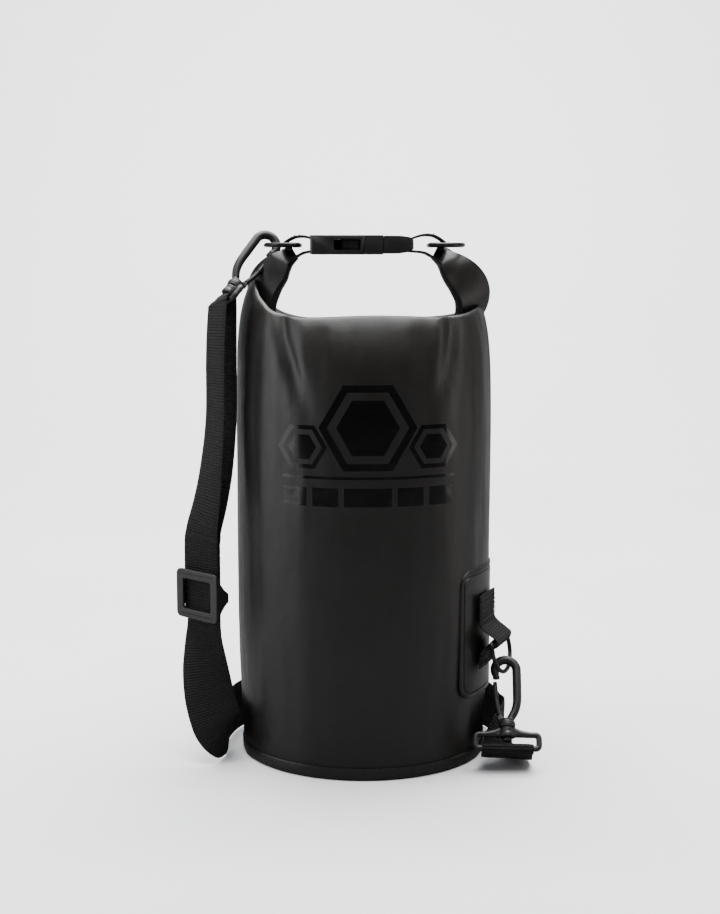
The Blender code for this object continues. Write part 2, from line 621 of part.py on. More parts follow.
def build_strap(parts):
    """One strap: up through the upper swivel, back down, through the slider and round to the lower hook."""
    upper_bar = UPPER_EYE - UPPER_AXIS * HOOK_LENGTH
    lower_bar = SIDE_EYE - LOWER_AXIS * HOOK_LENGTH
    turn = wrap(upper_bar, UPPER_BASE_WAY, Vector((-0.96, -0.26, 0)), TURN_RADIUS, -10, 190)

    heights = (0.1075, 0.125, 0.145, 0.161, 0.166, 0.172, 0.190, 0.215, 0.250, 0.290, 0.315)
    outer = [hanging(1, height) for height in heights]
    inner = [hanging(-1, height) for height in reversed(heights[3:])]
    loop = catmull(outer + turn[:1], 4) + turn[1:-1] + catmull(turn[-1:] + inner, 4)
    ribbon("strap_upper_loop", loop, WEB_THICK, webbing("strap_upper_loop"), parts)

    lower = [hanging(-1, height) for height in (0.1580, 0.145, 0.125, 0.100)]
    lower += [(-0.1170, -0.0348, 0.086, 0.80, -0.60, 0.0), (-0.1155, -0.0385, 0.066, 0.94, -0.33, 0.04),
              (-0.1120, -0.0435, 0.0460, 0.97, -0.06, 0.22), (-0.1065, -0.0480, 0.0295, 0.84, 0.14, 0.52),
              (-0.1005, -0.0450, 0.0205, 0.44, 0.36, 0.82), (-0.0990, -0.0310, 0.0195, 0.14, 0.24, 0.96),
              (-0.1020, -0.0130, 0.0196, 0.02, 0.06, 0.998)]
    back_radius = 0.1035
    for k in range(11):
        angle = math.pi - math.pi * k / 10
        lower.append((back_radius * math.cos(angle), back_radius * math.sin(angle), 0.0196, 0, 0, 1))
    lower += [(0.1045, -0.0140, 0.0198, 0.05, 0, 1), (0.1050, -0.0320, 0.0160, -0.45, 0.1, 0.88),
              (0.1045, -0.0470, 0.0092, -0.92, 0, 0.38), (0.1037, -0.0580, 0.0072, -1, 0, 0.05)]
    end_turn = wrap(lower_bar, LOWER_BASE_WAY, Vector((0, 1, 0)), TURN_RADIUS, -60, -250, 8)
    ribbon("strap_lower_run", catmull(lower + end_turn[:1], 4) + end_turn[1:], WEB_THICK,
           webbing("strap_lower_run"), parts)
    return upper_bar, lower_bar


def build_slider(parts):
    """Three-bar slider: end bars in front of the webbing, middle bar behind it."""
    def local(n, u, z):
        return SLIDER_CENTRE + STRAP_FACE * n + STRAP_ACROSS * u + Vector((0, 0, z))
    turn = Matrix((STRAP_FACE, (0, 0, 1), -STRAP_ACROSS)).transposed().to_4x4()
    frame = Matrix.Translation(SLIDER_CENTRE) @ turn
    front = [(0.0058, 0.0182), (0.0062, 0.0110), (0.0022, 0.0035), (0.0022, -0.0035),
             (0.0062, -0.0110), (0.0058, -0.0182)]
    back = [(0.0024, -0.0182), (0.0022, -0.0120), (-0.0020, -0.0060), (-0.0056, -0.0032),
            (-0.0056, 0.0032), (-0.0020, 0.0060), (0.0022, 0.0120), (0.0024, 0.0182)]
    rails = []
    for side in (-1, 1):
        inner, outer = side * 0.0190, side * 0.0226
        rail = prism("slider" if side < 0 else "slider_rail", front + back, min(inner, outer),
                     max(inner, outer), plastic("slider"), parts if side < 0 else CUTTERS)
        rail.data.transform(frame)
        rails.append(rail)
    for n, z, half_high in ((0.0041, 0.0154, 0.0026), (0.0041, -0.0154, 0.0026), (-0.0039, 0, 0.0028)):
        bar = box("slider_bar", (-0.0016, -half_high, -0.0205), (0.0016, half_high, 0.0205), None, CUTTERS)
        bar.data.transform(frame @ Matrix.Translation((n, z, 0)))
        boolean(rails[0], bar, "UNION")
    boolean(rails[0], rails[1], "UNION")
    set_origin(rails[0], local(0, 0, 0))


def main():
    global CUTTERS
    clear_scene()
    parts = collection("roll_top_dry_bag")
    CUTTERS = collection("cutters")
    build_tube(parts)
    build_base(parts)
    seam_angle = math.radians(110)
    curved_panel("back_seam_tape", seam_angle, math.radians(6), 0.012, 0.262, BODY_RADIUS + GAP, 0.0008,
                 coated_fabric("back_seam_tape"), parts, corner=0.002)
    build_band(parts)
    build_rings(parts)
    build_end_webbings(parts)
    build_female(parts)
    build_male(parts)
    build_side_patch(parts)
    upper_bar, lower_bar = build_strap(parts)
    build_swivel_base("upper_swivel", upper_bar, UPPER_AXIS, UPPER_BASE_WAY, parts)
    build_swivel_base("lower_swivel", lower_bar, LOWER_AXIS, LOWER_BASE_WAY, parts)
    build_hook("upper", upper_bar, UPPER_AXIS, UPPER_SPINE, parts)
    build_hook("lower", lower_bar, LOWER_AXIS, LOWER_SPINE, parts)
    build_slider(parts)


main()
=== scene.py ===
"""Looks of the roll-top dry bag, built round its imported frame. Metres, +Z up, camera on the -Y side."""

import math

import bmesh
import bpy
from mathutils import Matrix, Vector, noise


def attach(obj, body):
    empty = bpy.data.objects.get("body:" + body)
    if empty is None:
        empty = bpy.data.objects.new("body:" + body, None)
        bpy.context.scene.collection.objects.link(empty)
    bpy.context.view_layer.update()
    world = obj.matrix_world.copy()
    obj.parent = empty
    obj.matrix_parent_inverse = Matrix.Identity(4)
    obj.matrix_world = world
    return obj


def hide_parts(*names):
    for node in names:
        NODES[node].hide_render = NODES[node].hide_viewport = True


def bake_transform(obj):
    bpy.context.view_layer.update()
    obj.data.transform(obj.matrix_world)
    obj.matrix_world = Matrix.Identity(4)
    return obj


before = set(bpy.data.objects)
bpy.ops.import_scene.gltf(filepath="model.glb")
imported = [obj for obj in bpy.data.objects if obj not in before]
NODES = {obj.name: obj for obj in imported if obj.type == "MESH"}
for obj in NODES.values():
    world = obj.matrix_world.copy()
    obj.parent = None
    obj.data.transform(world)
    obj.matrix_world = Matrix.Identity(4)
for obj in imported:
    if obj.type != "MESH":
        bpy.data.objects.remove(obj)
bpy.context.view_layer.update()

GAP = 0.0003
WEB_WIDTH = 0.037
WEB_THICK = 0.0017
WEB_COLUMNS = 10
RIB_PITCH, YARN_PITCH = 0.0021, 0.0016
STITCH_PITCH, STITCH_LENGTH, THREAD_RADIUS = 0.0031, 0.0021, 0.00032
BODY_RADIUS = 0.0940
CLOSURE = 0.3755             # height of the buckle and of the top rings' bars

# ---------------- materials


class Nodes:
    """Short ways to add and join shader nodes."""

    def __init__(self, name):
        self.mat = bpy.data.materials.new(name)
        self.mat.use_nodes = True
        self.tree = self.mat.node_tree
        self.shader = self.tree.nodes["Principled BSDF"]
        self.coords = self.tree.nodes.new("ShaderNodeTexCoord")

    def add(self, kind, **values):
        node = self.tree.nodes.new("ShaderNode" + kind)
        for key, value in values.items():
            if hasattr(node, key):
                setattr(node, key, value)
            else:
                node.inputs[key.replace("_", " ")].default_value = value
        return node

    def link(self, start, end):
        self.tree.links.new(start, end)

    def mapped(self, scale=(1, 1, 1)):
        mapping = self.add("Mapping")
        mapping.inputs["Scale"].default_value = scale
        self.link(self.coords.outputs["Object"], mapping.inputs["Vector"])
        return mapping.outputs["Vector"]

    def noise(self, vector, scale, detail=3.0, roughness=0.5):
        node = self.add("TexNoise", Scale=scale, Detail=detail, Roughness=roughness)
        self.link(vector, node.inputs["Vector"])
        return node.outputs["Fac"]

    def ramp(self, value, low, high, start=0.0, end=1.0):
        node = self.add("MapRange")
        for key, number in (("From Min", start), ("From Max", end), ("To Min", low), ("To Max", high)):
            node.inputs[key].default_value = number
        self.link(value, node.inputs["Value"])
        return node.outputs["Result"]

    def math(self, operation, first, second=0.0):
        node = self.add("Math")
        node.operation = operation
        for slot, item in zip(node.inputs, (first, second)):
            if isinstance(item, (int, float)):
                slot.default_value = item
            else:
                self.link(item, slot)
        return node.outputs[0]

    def colours(self, factor, first, second):
        node = self.add("Mix")
        node.data_type = "RGBA"
        self.link(factor, node.inputs["Factor"])
        node.inputs["A"].default_value = (*first, 1)
        node.inputs["B"].default_value = (*second, 1)
        self.link(node.outputs["Result"], self.shader.inputs["Base Color"])

    def bump(self, height, distance, strength=1.0, below=None):
        node = self.add("Bump", Strength=strength, Distance=distance)
        self.link(height, node.inputs["Height"])
        if below:
            self.link(below, node.inputs["Normal"])
        return node.outputs["Normal"]

    def overlay(self, mask, name, value, kind="RGBA"):
        """Puts a plain value over a shader input where the mask is 1."""
        node = self.add("Mix")
        node.data_type = kind
        self.link(mask, node.inputs["Factor"])
        self.link(self.shader.inputs[name].links[0].from_socket, node.inputs["A"])
        node.inputs["B"].default_value = value
        self.link(node.outputs["Result"], self.shader.inputs[name])

    def done(self, roughness, normal=None, **values):
        self.link(roughness, self.shader.inputs["Roughness"])
        if normal:
            self.link(normal, self.shader.inputs["Normal"])
        for key, value in values.items():
            self.shader.inputs[key.replace("_", " ")].default_value = value
        return self.mat


def fabric_nodes(name, light=1.0):
    """Satin coating over a fine woven scrim, a little cloudy, with faint rubbed marks."""
    n = Nodes(name)
    here = n.mapped()
    cloud = n.noise(here, 22.0, 4.0, 0.6)
    grain = n.noise(here, 1400.0, 2.0, 0.6)
    rubbed = n.noise(n.mapped(scale=(1, 1, 0.12)), 90.0, 5.0, 0.65)
    n.colours(cloud, (0.0062 * light, 0.0055 * light, 0.0049 * light),
              (0.0092 * light, 0.0081 * light, 0.0072 * light))
    rough = n.math("ADD", n.ramp(cloud, 0.34, 0.44, 0.3, 0.7), n.ramp(rubbed, -0.03, 0.05, 0.35, 0.7))
    scrim = [n.add("TexWave", Scale=95.0, Distortion=0.4) for _ in range(2)]
    scrim[0].bands_direction = "X"
    scrim[1].bands_direction = "Z"
    for wave in scrim:
        n.link(here, wave.inputs["Vector"])
    weave = n.math("MULTIPLY", scrim[0].outputs["Fac"], scrim[1].outputs["Fac"])
    height = n.math("ADD", n.math("MULTIPLY", weave, 0.5), grain)
    waves = n.bump(n.noise(here, 55.0, 2.0), 0.0012, 0.35)
    n.done(rough, n.bump(height, 0.00008, 0.30, waves), Specular_IOR_Level=0.33)
    return n


def webbing():
    """Ribbed polyester webbing: ribs across it and a fine rib of yarns along it. UVs are in metres."""
    n = Nodes("webbing")
    place = n.coords.outputs["UV"]
    split = n.add("SeparateXYZ")
    n.link(place, split.inputs["Vector"])
    along = n.math("MULTIPLY", split.outputs["X"], 2 * math.pi / RIB_PITCH)
    across = n.math("MULTIPLY", split.outputs["Y"], 2 * math.pi / YARN_PITCH)
    rib = n.math("ABSOLUTE", n.math("SINE", n.math("MULTIPLY", along, 0.5)))
    yarn = n.math("SINE", n.math("ADD", across, n.math("MULTIPLY", n.math("SINE", along), 0.7)))
    height = n.math("ADD", rib, n.math("MULTIPLY", yarn, 0.22))
    fuzz = n.noise(n.mapped(), 900.0, 2.0)
    height = n.math("ADD", height, n.math("MULTIPLY", fuzz, 0.35))
    # painted shade: the colour follows the rib height, darker in the grooves between the ribs
    n.colours(n.ramp(rib, 0.0, 1.0, 0.2, 1.0), (0.0015, 0.0014, 0.0012),
              (0.0068, 0.0060, 0.0052))
    rough = n.ramp(fuzz, 0.62, 0.85, 0.3, 0.7)
    return n.done(rough, n.bump(height, 0.00055, 0.9), Sheen_Weight=0.015, Sheen_Roughness=0.45,
                  Specular_IOR_Level=0.16)


def moulded_plastic(name="moulded_plastic", light=1.0, gloss=0.42):
    """Matte acetal with a fine spark-eroded grain and slightly worn, smoother patches."""
    n = Nodes(name)
    here = n.mapped()
    patch = n.noise(here, 120.0, 3.0)
    grain = n.noise(here, 2600.0, 2.0, 0.7)
    n.colours(patch, (0.0062 * light, 0.0060 * light, 0.0058 * light),
              (0.0095 * light, 0.0092 * light, 0.0088 * light))
    rough = n.math("ADD", n.ramp(patch, 0.34, 0.46, 0.3, 0.7), n.ramp(grain, -0.04, 0.04))
    return n.done(rough, n.bump(grain, 0.00006, 0.5), Specular_IOR_Level=gloss)


def coated_steel():
    """Black coated steel wire, a little bronze where it is rubbed."""
    n = Nodes("coated_steel")
    here = n.mapped()
    rub = n.noise(here, 260.0, 4.0, 0.6)
    n.colours(n.ramp(rub, 0.0, 1.0, 0.45, 0.75), (0.010, 0.009, 0.0085), (0.040, 0.032, 0.027))
    rough = n.ramp(rub, 0.24, 0.42, 0.3, 0.7)
    return n.done(rough, n.bump(n.noise(here, 900.0, 2.0), 0.00004, 0.4), Metallic=0.65)


def thread():
    n = Nodes("thread")
    twist = n.add("TexWave", Scale=700.0)
    twist.bands_direction = "DIAGONAL"
    n.link(n.mapped(), twist.inputs["Vector"])
    n.colours(twist.outputs["Fac"], (0.005, 0.005, 0.005), (0.018, 0.017, 0.016))
    return n.done(n.ramp(twist.outputs["Fac"], 0.55, 0.75), n.bump(twist.outputs["Fac"], 0.00008, 0.5))


FABRIC = fabric_nodes("coated_fabric").mat
FABRIC_EDGE = fabric_nodes("coated_fabric_welded", 1.15).mat
WEBBING = webbing()
PLASTIC = moulded_plastic()
# painted shade: a darker, less glossy copy of the plastic, used on the slider's ribs
SHADED_RIB_PLASTIC = moulded_plastic("slider_plastic_painted_shade", 0.8, 0.18)
STEEL = coated_steel()
THREAD = thread()

# ---------------- mesh helpers


def add_object(name, bm, finish, smooth=40):
    mesh = bpy.data.meshes.new(name)
    if bm.faces:
        bmesh.ops.recalc_face_normals(bm, faces=bm.faces)
        if bm.calc_volume(signed=True) < 0:
            bmesh.ops.reverse_faces(bm, faces=bm.faces)
    bm.to_mesh(mesh)
    bm.free()
    obj = bpy.data.objects.new(name, mesh)
    bpy.context.scene.collection.objects.link(obj)
    mesh.materials.append(finish)
    mesh.shade_smooth()
    mesh.set_sharp_from_angle(angle=math.radians(smooth))
    return obj


def settle(obj, smooth=40):
    """Turns an object's modifiers into plain mesh."""
    bpy.context.view_layer.update()
    depsgraph = bpy.context.evaluated_depsgraph_get()
    mesh = bpy.data.meshes.new_from_object(obj.evaluated_get(depsgraph))
    mesh.transform(obj.matrix_world)
    materials = list(obj.data.materials)
    finished = bpy.data.objects.new(obj.name + "_", mesh)
    bpy.context.scene.collection.objects.link(finished)
    name = obj.name
    bpy.data.objects.remove(obj, do_unlink=True)
    finished.name = name
    mesh.materials.clear()
    for item in materials:
        mesh.materials.append(item)
    mesh.shade_smooth()
    mesh.set_sharp_from_angle(angle=math.radians(smooth))
    return finished


def catmull(points, per_span):
    result = []
    last = len(points) - 1
    for i in range(last):
        quad = points[max(i - 1, 0)], points[i], points[i + 1], points[min(i + 2, last)]
        for k in range(per_span):
            t = k / per_span
            result.append(tuple(
                0.5 * (2 * b + (c - a) * t + (2 * a - 5 * b + 4 * c - d) * t * t
                       + (3 * b - a - 3 * c + d) * t ** 3)
                for a, b, c, d in zip(*quad)))
    result.append(tuple(points[last]))
    return result


def smoothstep(low, high, value):
    t = min(max((value - low) / (high - low), 0.0), 1.0)
    return t * t * (3 - 2 * t)


def bell(value, middle, width):
    return math.exp(-((value - middle) / width) ** 2)


def loft(name, rings, finish, capped=True, smooth=40):
    """Closed rings of equal length joined by quads, with UVs in metres."""
    bm = bmesh.new()
    rows = [[bm.verts.new(p) for p in ring] for ring in rings]
    count = len(rows[0])
    layer = bm.loops.layers.uv.new("UVMap")
    along = [0.0]
    for a, b in zip(rings, rings[1:]):
        along.append(along[-1] + (Vector(b[0]) - Vector(a[0])).length)
    middle = rings[len(rings) // 2]
    around = [0.0]
    for k in range(count):
        around.append(around[-1] + (Vector(middle[(k + 1) % count]) - Vector(middle[k])).length)
    for i in range(len(rows) - 1):
        for k in range(count):
            j = (k + 1) % count
            face = bm.faces.new((rows[i][k], rows[i][j], rows[i + 1][j], rows[i + 1][k]))
            places = ((i, k), (i, k + 1), (i + 1, k + 1), (i + 1, k))
            for loop, (row, column) in zip(face.loops, places):
                loop[layer].uv = (along[row], around[column])
    if capped:
        bm.faces.new(rows[0])
        bm.faces.new(rows[-1])
    return add_object(name, bm, finish, smooth)


def ribbon(name, stations, width=WEB_WIDTH):
    """Webbing with rounded selvedges along stations of middle and width direction."""
    places = [Vector(s[:3]) for s in stations]
    outline = []
    for k in range(WEB_COLUMNS + 1):
        u = -1 + 2 * k / WEB_COLUMNS
        outline.append((u, 1 if abs(u) < 1 else 0.35))
    outline += [(u, -v) for u, v in reversed(outline)]
    rings = []
    for i, place in enumerate(places):
        along = (places[min(i + 1, len(places) - 1)] - places[max(i - 1, 0)]).normalized()
        across = Vector(stations[i][3:6])
        across = (across - along * across.dot(along)).normalized()
        face = along.cross(across)
        rings.append([place + across * width / 2 * u + face * WEB_THICK / 2 * v for u, v in outline])
    return loft(name, rings, WEBBING, smooth=50)


def tube(name, points, radius, finish=PLASTIC, cyclic=False, sides=6, radii=None):
    """A round wire or a moulded bar along points, as a mesh."""
    data = bpy.data.curves.new(name, "CURVE")
    data.dimensions = "3D"
    data.bevel_depth = radius
    data.bevel_resolution = sides
    data.use_fill_caps = not cyclic
    spline = data.splines.new("POLY")
    spline.points.add(len(points) - 1)
    for k, (place, point) in enumerate(zip(spline.points, points)):
        place.co = (*point, 1.0)
        if radii:
            place.radius = radii[k]
    spline.use_cyclic_u = cyclic
    obj = bpy.data.objects.new(name, data)
    bpy.context.scene.collection.objects.link(obj)
    bpy.context.view_layer.update()
    mesh = bpy.data.meshes.new_from_object(obj.evaluated_get(bpy.context.evaluated_depsgraph_get()))
    bm = bmesh.new()
    bm.from_mesh(mesh)
    bmesh.ops.remove_doubles(bm, verts=bm.verts, dist=0.00001)
    bpy.data.objects.remove(obj, do_unlink=True)
    bpy.data.meshes.remove(mesh)
    return add_object(name, bm, finish)


def box_at(name, size, finish=PLASTIC, place=Matrix.Identity(4)):
    bm = bmesh.new()
    bmesh.ops.create_cube(bm, size=1.0)
    bm.transform(place @ Matrix.Diagonal((*size, 1.0)))
    return add_object(name, bm, finish)


def box_between(name, low, high, finish=PLASTIC):
    low, high = Vector(low), Vector(high)
    return box_at(name, high - low, finish, Matrix.Translation((low + high) / 2))


def rod(name, start, end, radius, finish=PLASTIC):
    start, end = Vector(start), Vector(end)
    bm = bmesh.new()
    bmesh.ops.create_cone(bm, cap_ends=True, segments=40, radius1=radius, radius2=radius,
                          depth=(end - start).length)
    turn = (end - start).to_track_quat("Z", "Y").to_matrix().to_4x4()
    bm.transform(Matrix.Translation((start + end) / 2) @ turn)
    return add_object(name, bm, finish)


def prism(name, outline, low, high, finish=PLASTIC, place=Matrix.Identity(4)):
    bm = bmesh.new()
    face = bm.faces.new([bm.verts.new((x, y, low)) for x, y in outline])
    up = bmesh.ops.extrude_face_region(bm, geom=[face])
    top = [v for v in up["geom"] if isinstance(v, bmesh.types.BMVert)]
    bmesh.ops.translate(bm, verts=top, vec=(0, 0, high - low))
    bm.transform(place)
    return add_object(name, bm, finish)


def carve(target, tools, operation="DIFFERENCE"):
    for tool in tools:
        mod = target.modifiers.new(operation, "BOOLEAN")
        mod.operation = operation
        mod.solver = "EXACT"
        mod.object = tool
    finished = settle(target)
    for tool in tools:
        bpy.data.objects.remove(tool, do_unlink=True)
    return finished


def round_edges(obj, width, segments=3):
    bevel = obj.modifiers.new("bevel", "BEVEL")
    bevel.width = width
    bevel.segments = segments
    bevel.limit_method = "ANGLE"
    bevel.angle_limit = math.radians(35)
    bevel.harden_normals = False
    return settle(obj, 50)


def fuse(name, pieces, voxel, rounds):
    """Joins overlapping shapes in one smooth moulding."""
    bm = bmesh.new()
    for piece in pieces:
        bm.from_mesh(piece.data)
        bpy.data.objects.remove(piece, do_unlink=True)
    joined = add_object(name, bm, PLASTIC)
    remesh = joined.modifiers.new("remesh", "REMESH")
    remesh.mode = "VOXEL"
    remesh.voxel_size = voxel
    soft = joined.modifiers.new("smooth", "SMOOTH")
    soft.factor = 0.5
    soft.iterations = rounds
    return settle(joined, 60)


def join(name, pieces):
    """Several meshes as one object, for rows of small things such as stitches."""
    bm = bmesh.new()
    finish = pieces[0].data.materials[0]
    for piece in pieces:
        bm.from_mesh(piece.data)
        bpy.data.objects.remove(piece, do_unlink=True)
    return add_object(name, bm, finish)


def part(obj, body, *nodes):
    """Says which body a piece rides on and which CAD nodes it stands for."""
    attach(obj, body)
    if nodes:
        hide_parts(*nodes)


def stitches(name, start, end, outward, body):
    """A row of sewn stitches from a point to a point, standing slightly out of the cloth."""
    start, end = Vector(start), Vector(end)
    way = (end - start).normalized()
    outward = Vector(outward).normalized()
    count = max(int((end - start).length / STITCH_PITCH), 1)
    made = []
    for k in range(count):
        middle = start + way * (k + 0.5) * (end - start).length / count
        points = [middle + way * STITCH_LENGTH * t + outward * THREAD_RADIUS * (0.9 - 5.0 * t * t)
                  for t in (-0.5, -0.25, 0.0, 0.25, 0.5)]
        made.append(tube("stitch", points, THREAD_RADIUS, THREAD, sides=1))
    part(join(name, made), body)

# ---------------- fabric body

# Half width, half depth, height, rise of the left and right sides, their draw-in, drop of the back
LEVELS = [(half, half, height, 0, 0, 0, 0, 0) for half, height in (
    (0.0893, 0.0027), (0.0905, 0.0100), (0.0914, 0.0300), (0.0928, 0.0650), (0.0938, 0.1050),
    (0.0940, 0.1600), (0.0940, 0.2150), (0.0938, 0.2600))]
LEVELS += [(0.0932, 0.0925, 0.2860, 0, 0, 0, 0, 0.0005),
           (0.0926, 0.0895, 0.3030, 0.003, 0.001, 0, 0.0005, 0.0015),
           (0.0914, 0.0848, 0.3150, 0.012, 0.002, 0.0012, 0.0010, 0.0035),
           (0.0892, 0.0800, 0.3222, 0.022, 0.005, 0.0040, 0.0012, 0.0052),
           (0.0870, 0.0768, 0.3242, 0.0265, 0.007, 0.0062, 0.0014, 0.0057),
           (0.0850, 0.0728, 0.3236, 0.0265, 0.007, 0.0058, 0.0012, 0.0057),
           (0.0822, 0.0650, 0.3200, 0.024, 0.007, 0.0050, 0.0005, 0.0050),
           (0.0780, 0.0520, 0.3135, 0.020, 0.008, 0.0035, 0, 0.0035),
           (0.0735, 0.0360, 0.3060, 0.018, 0.010, 0.0020, 0, 0.0020),
           (0.0700, 0.0200, 0.3000, 0.017, 0.012, 0.0010, 0, 0.0010),
           (0.0670, 0.0070, 0.2960, 0.016, 0.014, 0, 0, 0)]
AROUND = 200
PER_LEVEL = 6
TURNED_SIDES = 160
# Folds under the ridge: angle, lean in degrees a metre, top, foot, depth, half width in degrees
FOLDS = [(-131, 260, 0.322, 0.235, 0.0036, 3.8), (-120, 120, 0.322, 0.255, -0.0014, 5.0),
         (-46, -170, 0.322, 0.240, 0.0024, 4.2), (-55, -40, 0.322, 0.270, -0.0010, 4.0),
         (-152, 30, 0.335, 0.215, 0.0012, 6.0), (-98, 20, 0.322, 0.285, 0.0007, 6.0),
         (48, 120, 0.322, 0.240, 0.0018, 5.0), (128, -110, 0.322, 0.235, 0.0019, 5.0),
         (-20, 40, 0.330, 0.230, 0.0011, 5.0), (90, 20, 0.322, 0.275, 0.0009, 7.0)]


def wrinkle(angle, height):
    """How far the cloth stands out from its level, in metres."""
    flute = noise.noise(Vector((math.cos(angle) * 5.5, math.sin(angle) * 5.5, height * 4.0)))
    small = noise.noise(Vector((math.cos(angle) * 14, math.sin(angle) * 14, height * 22.0 + 7)))
    upper = smoothstep(0.10, 0.30, height)
    out = 0.0009 * flute * (0.5 + 0.8 * upper) + 0.0003 * small
    turn = math.degrees(angle)
    for middle, lean, top, foot, deep, wide in FOLDS:
        reach = smoothstep(foot, top, height)
        out -= deep * reach * bell((turn - middle - lean * (top - height) + 540) % 360 - 180, 0, wide)
    return out * (1 - smoothstep(0.318, 0.335, height)) * smoothstep(0.004, 0.03, height)


def cloth_point(level, angle):
    a, depth, height, left, right, draw_left, draw_right, drop = level
    c, s = math.cos(angle), math.sin(angle)
    lift, draw = (right, draw_right) if c > 0 else (left, draw_left)
    a -= draw * abs(c) ** 5
    crown = 0.0022 * bell(a * c, 0.012, 0.045) * smoothstep(0.300, 0.322, height) * abs(s) ** 2
    z = height + lift * abs(c) ** 6 + crown - drop * max(s, 0) ** 2
    out = wrinkle(angle, height) if height < 0.34 else 0
    return Vector(((a + out) * c, (depth + out) * s, z))


def make_tube():
    """Round fabric tube, folded in at its front and back ridges."""
    rings = [[cloth_point(level, 2 * math.pi * k / AROUND) for k in range(AROUND)]
             for level in catmull(LEVELS, PER_LEVEL)]
    cloth = loft("bag_cloth", rings, printed_fabric(), capped=False, smooth=80)
    shell = cloth.modifiers.new("wall", "SOLIDIFY")
    shell.thickness = 0.0010
    shell.offset = -1
    cloth = settle(cloth, 80)
    part(cloth, "bag", "bag_tube")


# Printed hexagons by distance from the print's middle: across, height, rings from and to (half heights)
PRINT_MIDDLE = 0.003
PRINT_HEXAGONS = [(0.0, 0.2500, ((0.0245, 0.0295), (-1, 0.0190))),
                  (0.0455, 0.2365, ((0.0120, 0.0150), (-1, 0.0085)))]


def printed_fabric():
    """The coated fabric with three plain hexagons over a line and dashes, printed in gloss on the front."""
    n = fabric_nodes("printed_coated_fabric")
    place = n.add("SeparateXYZ")
    n.link(n.coords.outputs["Object"], place.inputs[0])
    x, y, z = (place.outputs[axis] for axis in "XYZ")

    def both(first, second):
        return n.math("MULTIPLY", first, second)

    def within(value, low, high):
        return both(n.math("GREATER_THAN", value, low), n.math("LESS_THAN", value, high))

    side = n.math("ABSOLUTE", n.math("SUBTRACT", x, PRINT_MIDDLE))
    shapes = []
    for across, height, rings in PRINT_HEXAGONS:
        u = n.math("ABSOLUTE", n.math("SUBTRACT", side, across))
        v = n.math("ABSOLUTE", n.math("SUBTRACT", z, height))
        slant = n.math("ADD", n.math("MULTIPLY", u, 0.8660), n.math("MULTIPLY", v, 0.5))
        hexagon = n.math("MAXIMUM", v, slant)
        shapes += [within(hexagon, low, high) for low, high in rings]
    shapes.append(both(within(z, 0.2145, 0.2165), n.math("LESS_THAN", side, 0.0600)))
    for low, high in ((-1, 0.0165), (0.0205, 0.0385), (0.0425, 0.0590)):
        shapes.append(both(within(z, 0.1955, 0.2085), within(side, low, high)))
    mask = shapes[0]
    for shape in shapes[1:]:
        mask = n.math("MAXIMUM", mask, shape)
    mask = both(mask, n.math("LESS_THAN", y, -0.02))
    n.overlay(mask, "Base Color", (0.0012, 0.0012, 0.0013, 1))
    n.overlay(mask, "Roughness", 0.17, "FLOAT")
    return n.mat


# Rolled band, left tip to right tip: X, Z, twist, width, thickness, place and height of its fold
BAND = [(-0.0506, 0.3706, -30, 0.0220, 0.0040, 0, 0.5), (-0.0578, 0.3655, -26, 0.0320, 0.0080, -0.05, 1.1),
        (-0.0650, 0.3565, -34, 0.0365, 0.0100, 0.05, 1.4), (-0.0700, 0.3450, -28, 0.0370, 0.0110, 0.16, 1.3),
        (-0.0708, 0.3325, -14, 0.0365, 0.0110, 0.16, 1.0), (-0.0680, 0.3215, -6, 0.0360, 0.0100, 0.1, 0.6),
        (-0.0590, 0.3135, 0, 0.0360, 0.0090, 0, 0.5), (-0.0340, 0.3048, 0, 0.0360, 0.0090, 0, 0.5),
        (0.0, 0.3020, 0, 0.0360, 0.0090, 0, 0.5),
        (0.0350, 0.3048, 0, 0.0360, 0.0090, 0, 0.5), (0.0600, 0.3135, 0, 0.0360, 0.0090, 0.1, 0.6),
        (0.0712, 0.3215, 8, 0.0360, 0.0100, 0.30, 1.0), (0.0752, 0.3330, 18, 0.0370, 0.0110, 0.30, 1.3),
        (0.0738, 0.3445, 28, 0.0370, 0.0110, 0.22, 1.5), (0.0680, 0.3560, 34, 0.0360, 0.0100, 0.10, 1.5),
        (0.0604, 0.3655, 28, 0.0325, 0.0080, 0, 1.0), (0.0524, 0.3706, 30, 0.0220, 0.0040, 0, 0.5)]
BAND_STEPS = 7
SHOULDER = BAND_STEPS * 10 + 3      # the ring where the right arm starts


def folded_section(fold, high):
    """Outline of the band, across from front to back and outward: two faces that meet at a fold."""
    front = [(-0.49 + (fold + 0.49) * t, 0.18 + (high - 0.18) * t + 0.22 * t * (1 - t))
             for t in (0, 0.15, 0.35, 0.55, 0.75, 0.90, 0.97, 1.0)]
    rear = [(fold + (0.49 - fold) * t, high + (0.10 - high) * t - 0.12 * t * (1 - t))
            for t in (0.04, 0.12, 0.35, 0.65, 1.0)]
    under = [(0.50, -0.10), (0.46, -0.38), (0.30, -0.50), (0.18, -0.50), (0.165, -0.42), (0.0, -0.42),
             (-0.20, -0.44), (-0.42, -0.40), (-0.50, -0.10)]
    return front + rear + under


def band_rings():
    line = catmull(BAND, BAND_STEPS)
    rings = []
    for i, (x, z, twist, width, thick, fold, high) in enumerate(line):
        before, after = line[max(i - 1, 0)], line[min(i + 1, len(line) - 1)]
        along = Vector((after[0] - before[0], 0, after[1] - before[1])).normalized()
        turn = Matrix.Rotation(math.radians(twist if x < 0 else -twist), 3, along)
        across = turn @ Vector((0, 1, 0))
        outward = turn @ Vector((along.z, 0, -along.x))
        middle = Vector((x, 0, z))
        ring = []
        for u, v in folded_section(fold, high):
            ripple = 0.0005 * noise.noise(Vector((x * 70, u * 5, z * 70)))
            ring.append(middle + across * width * u + outward * (thick * v + ripple))
        rings.append(ring)
    return rings


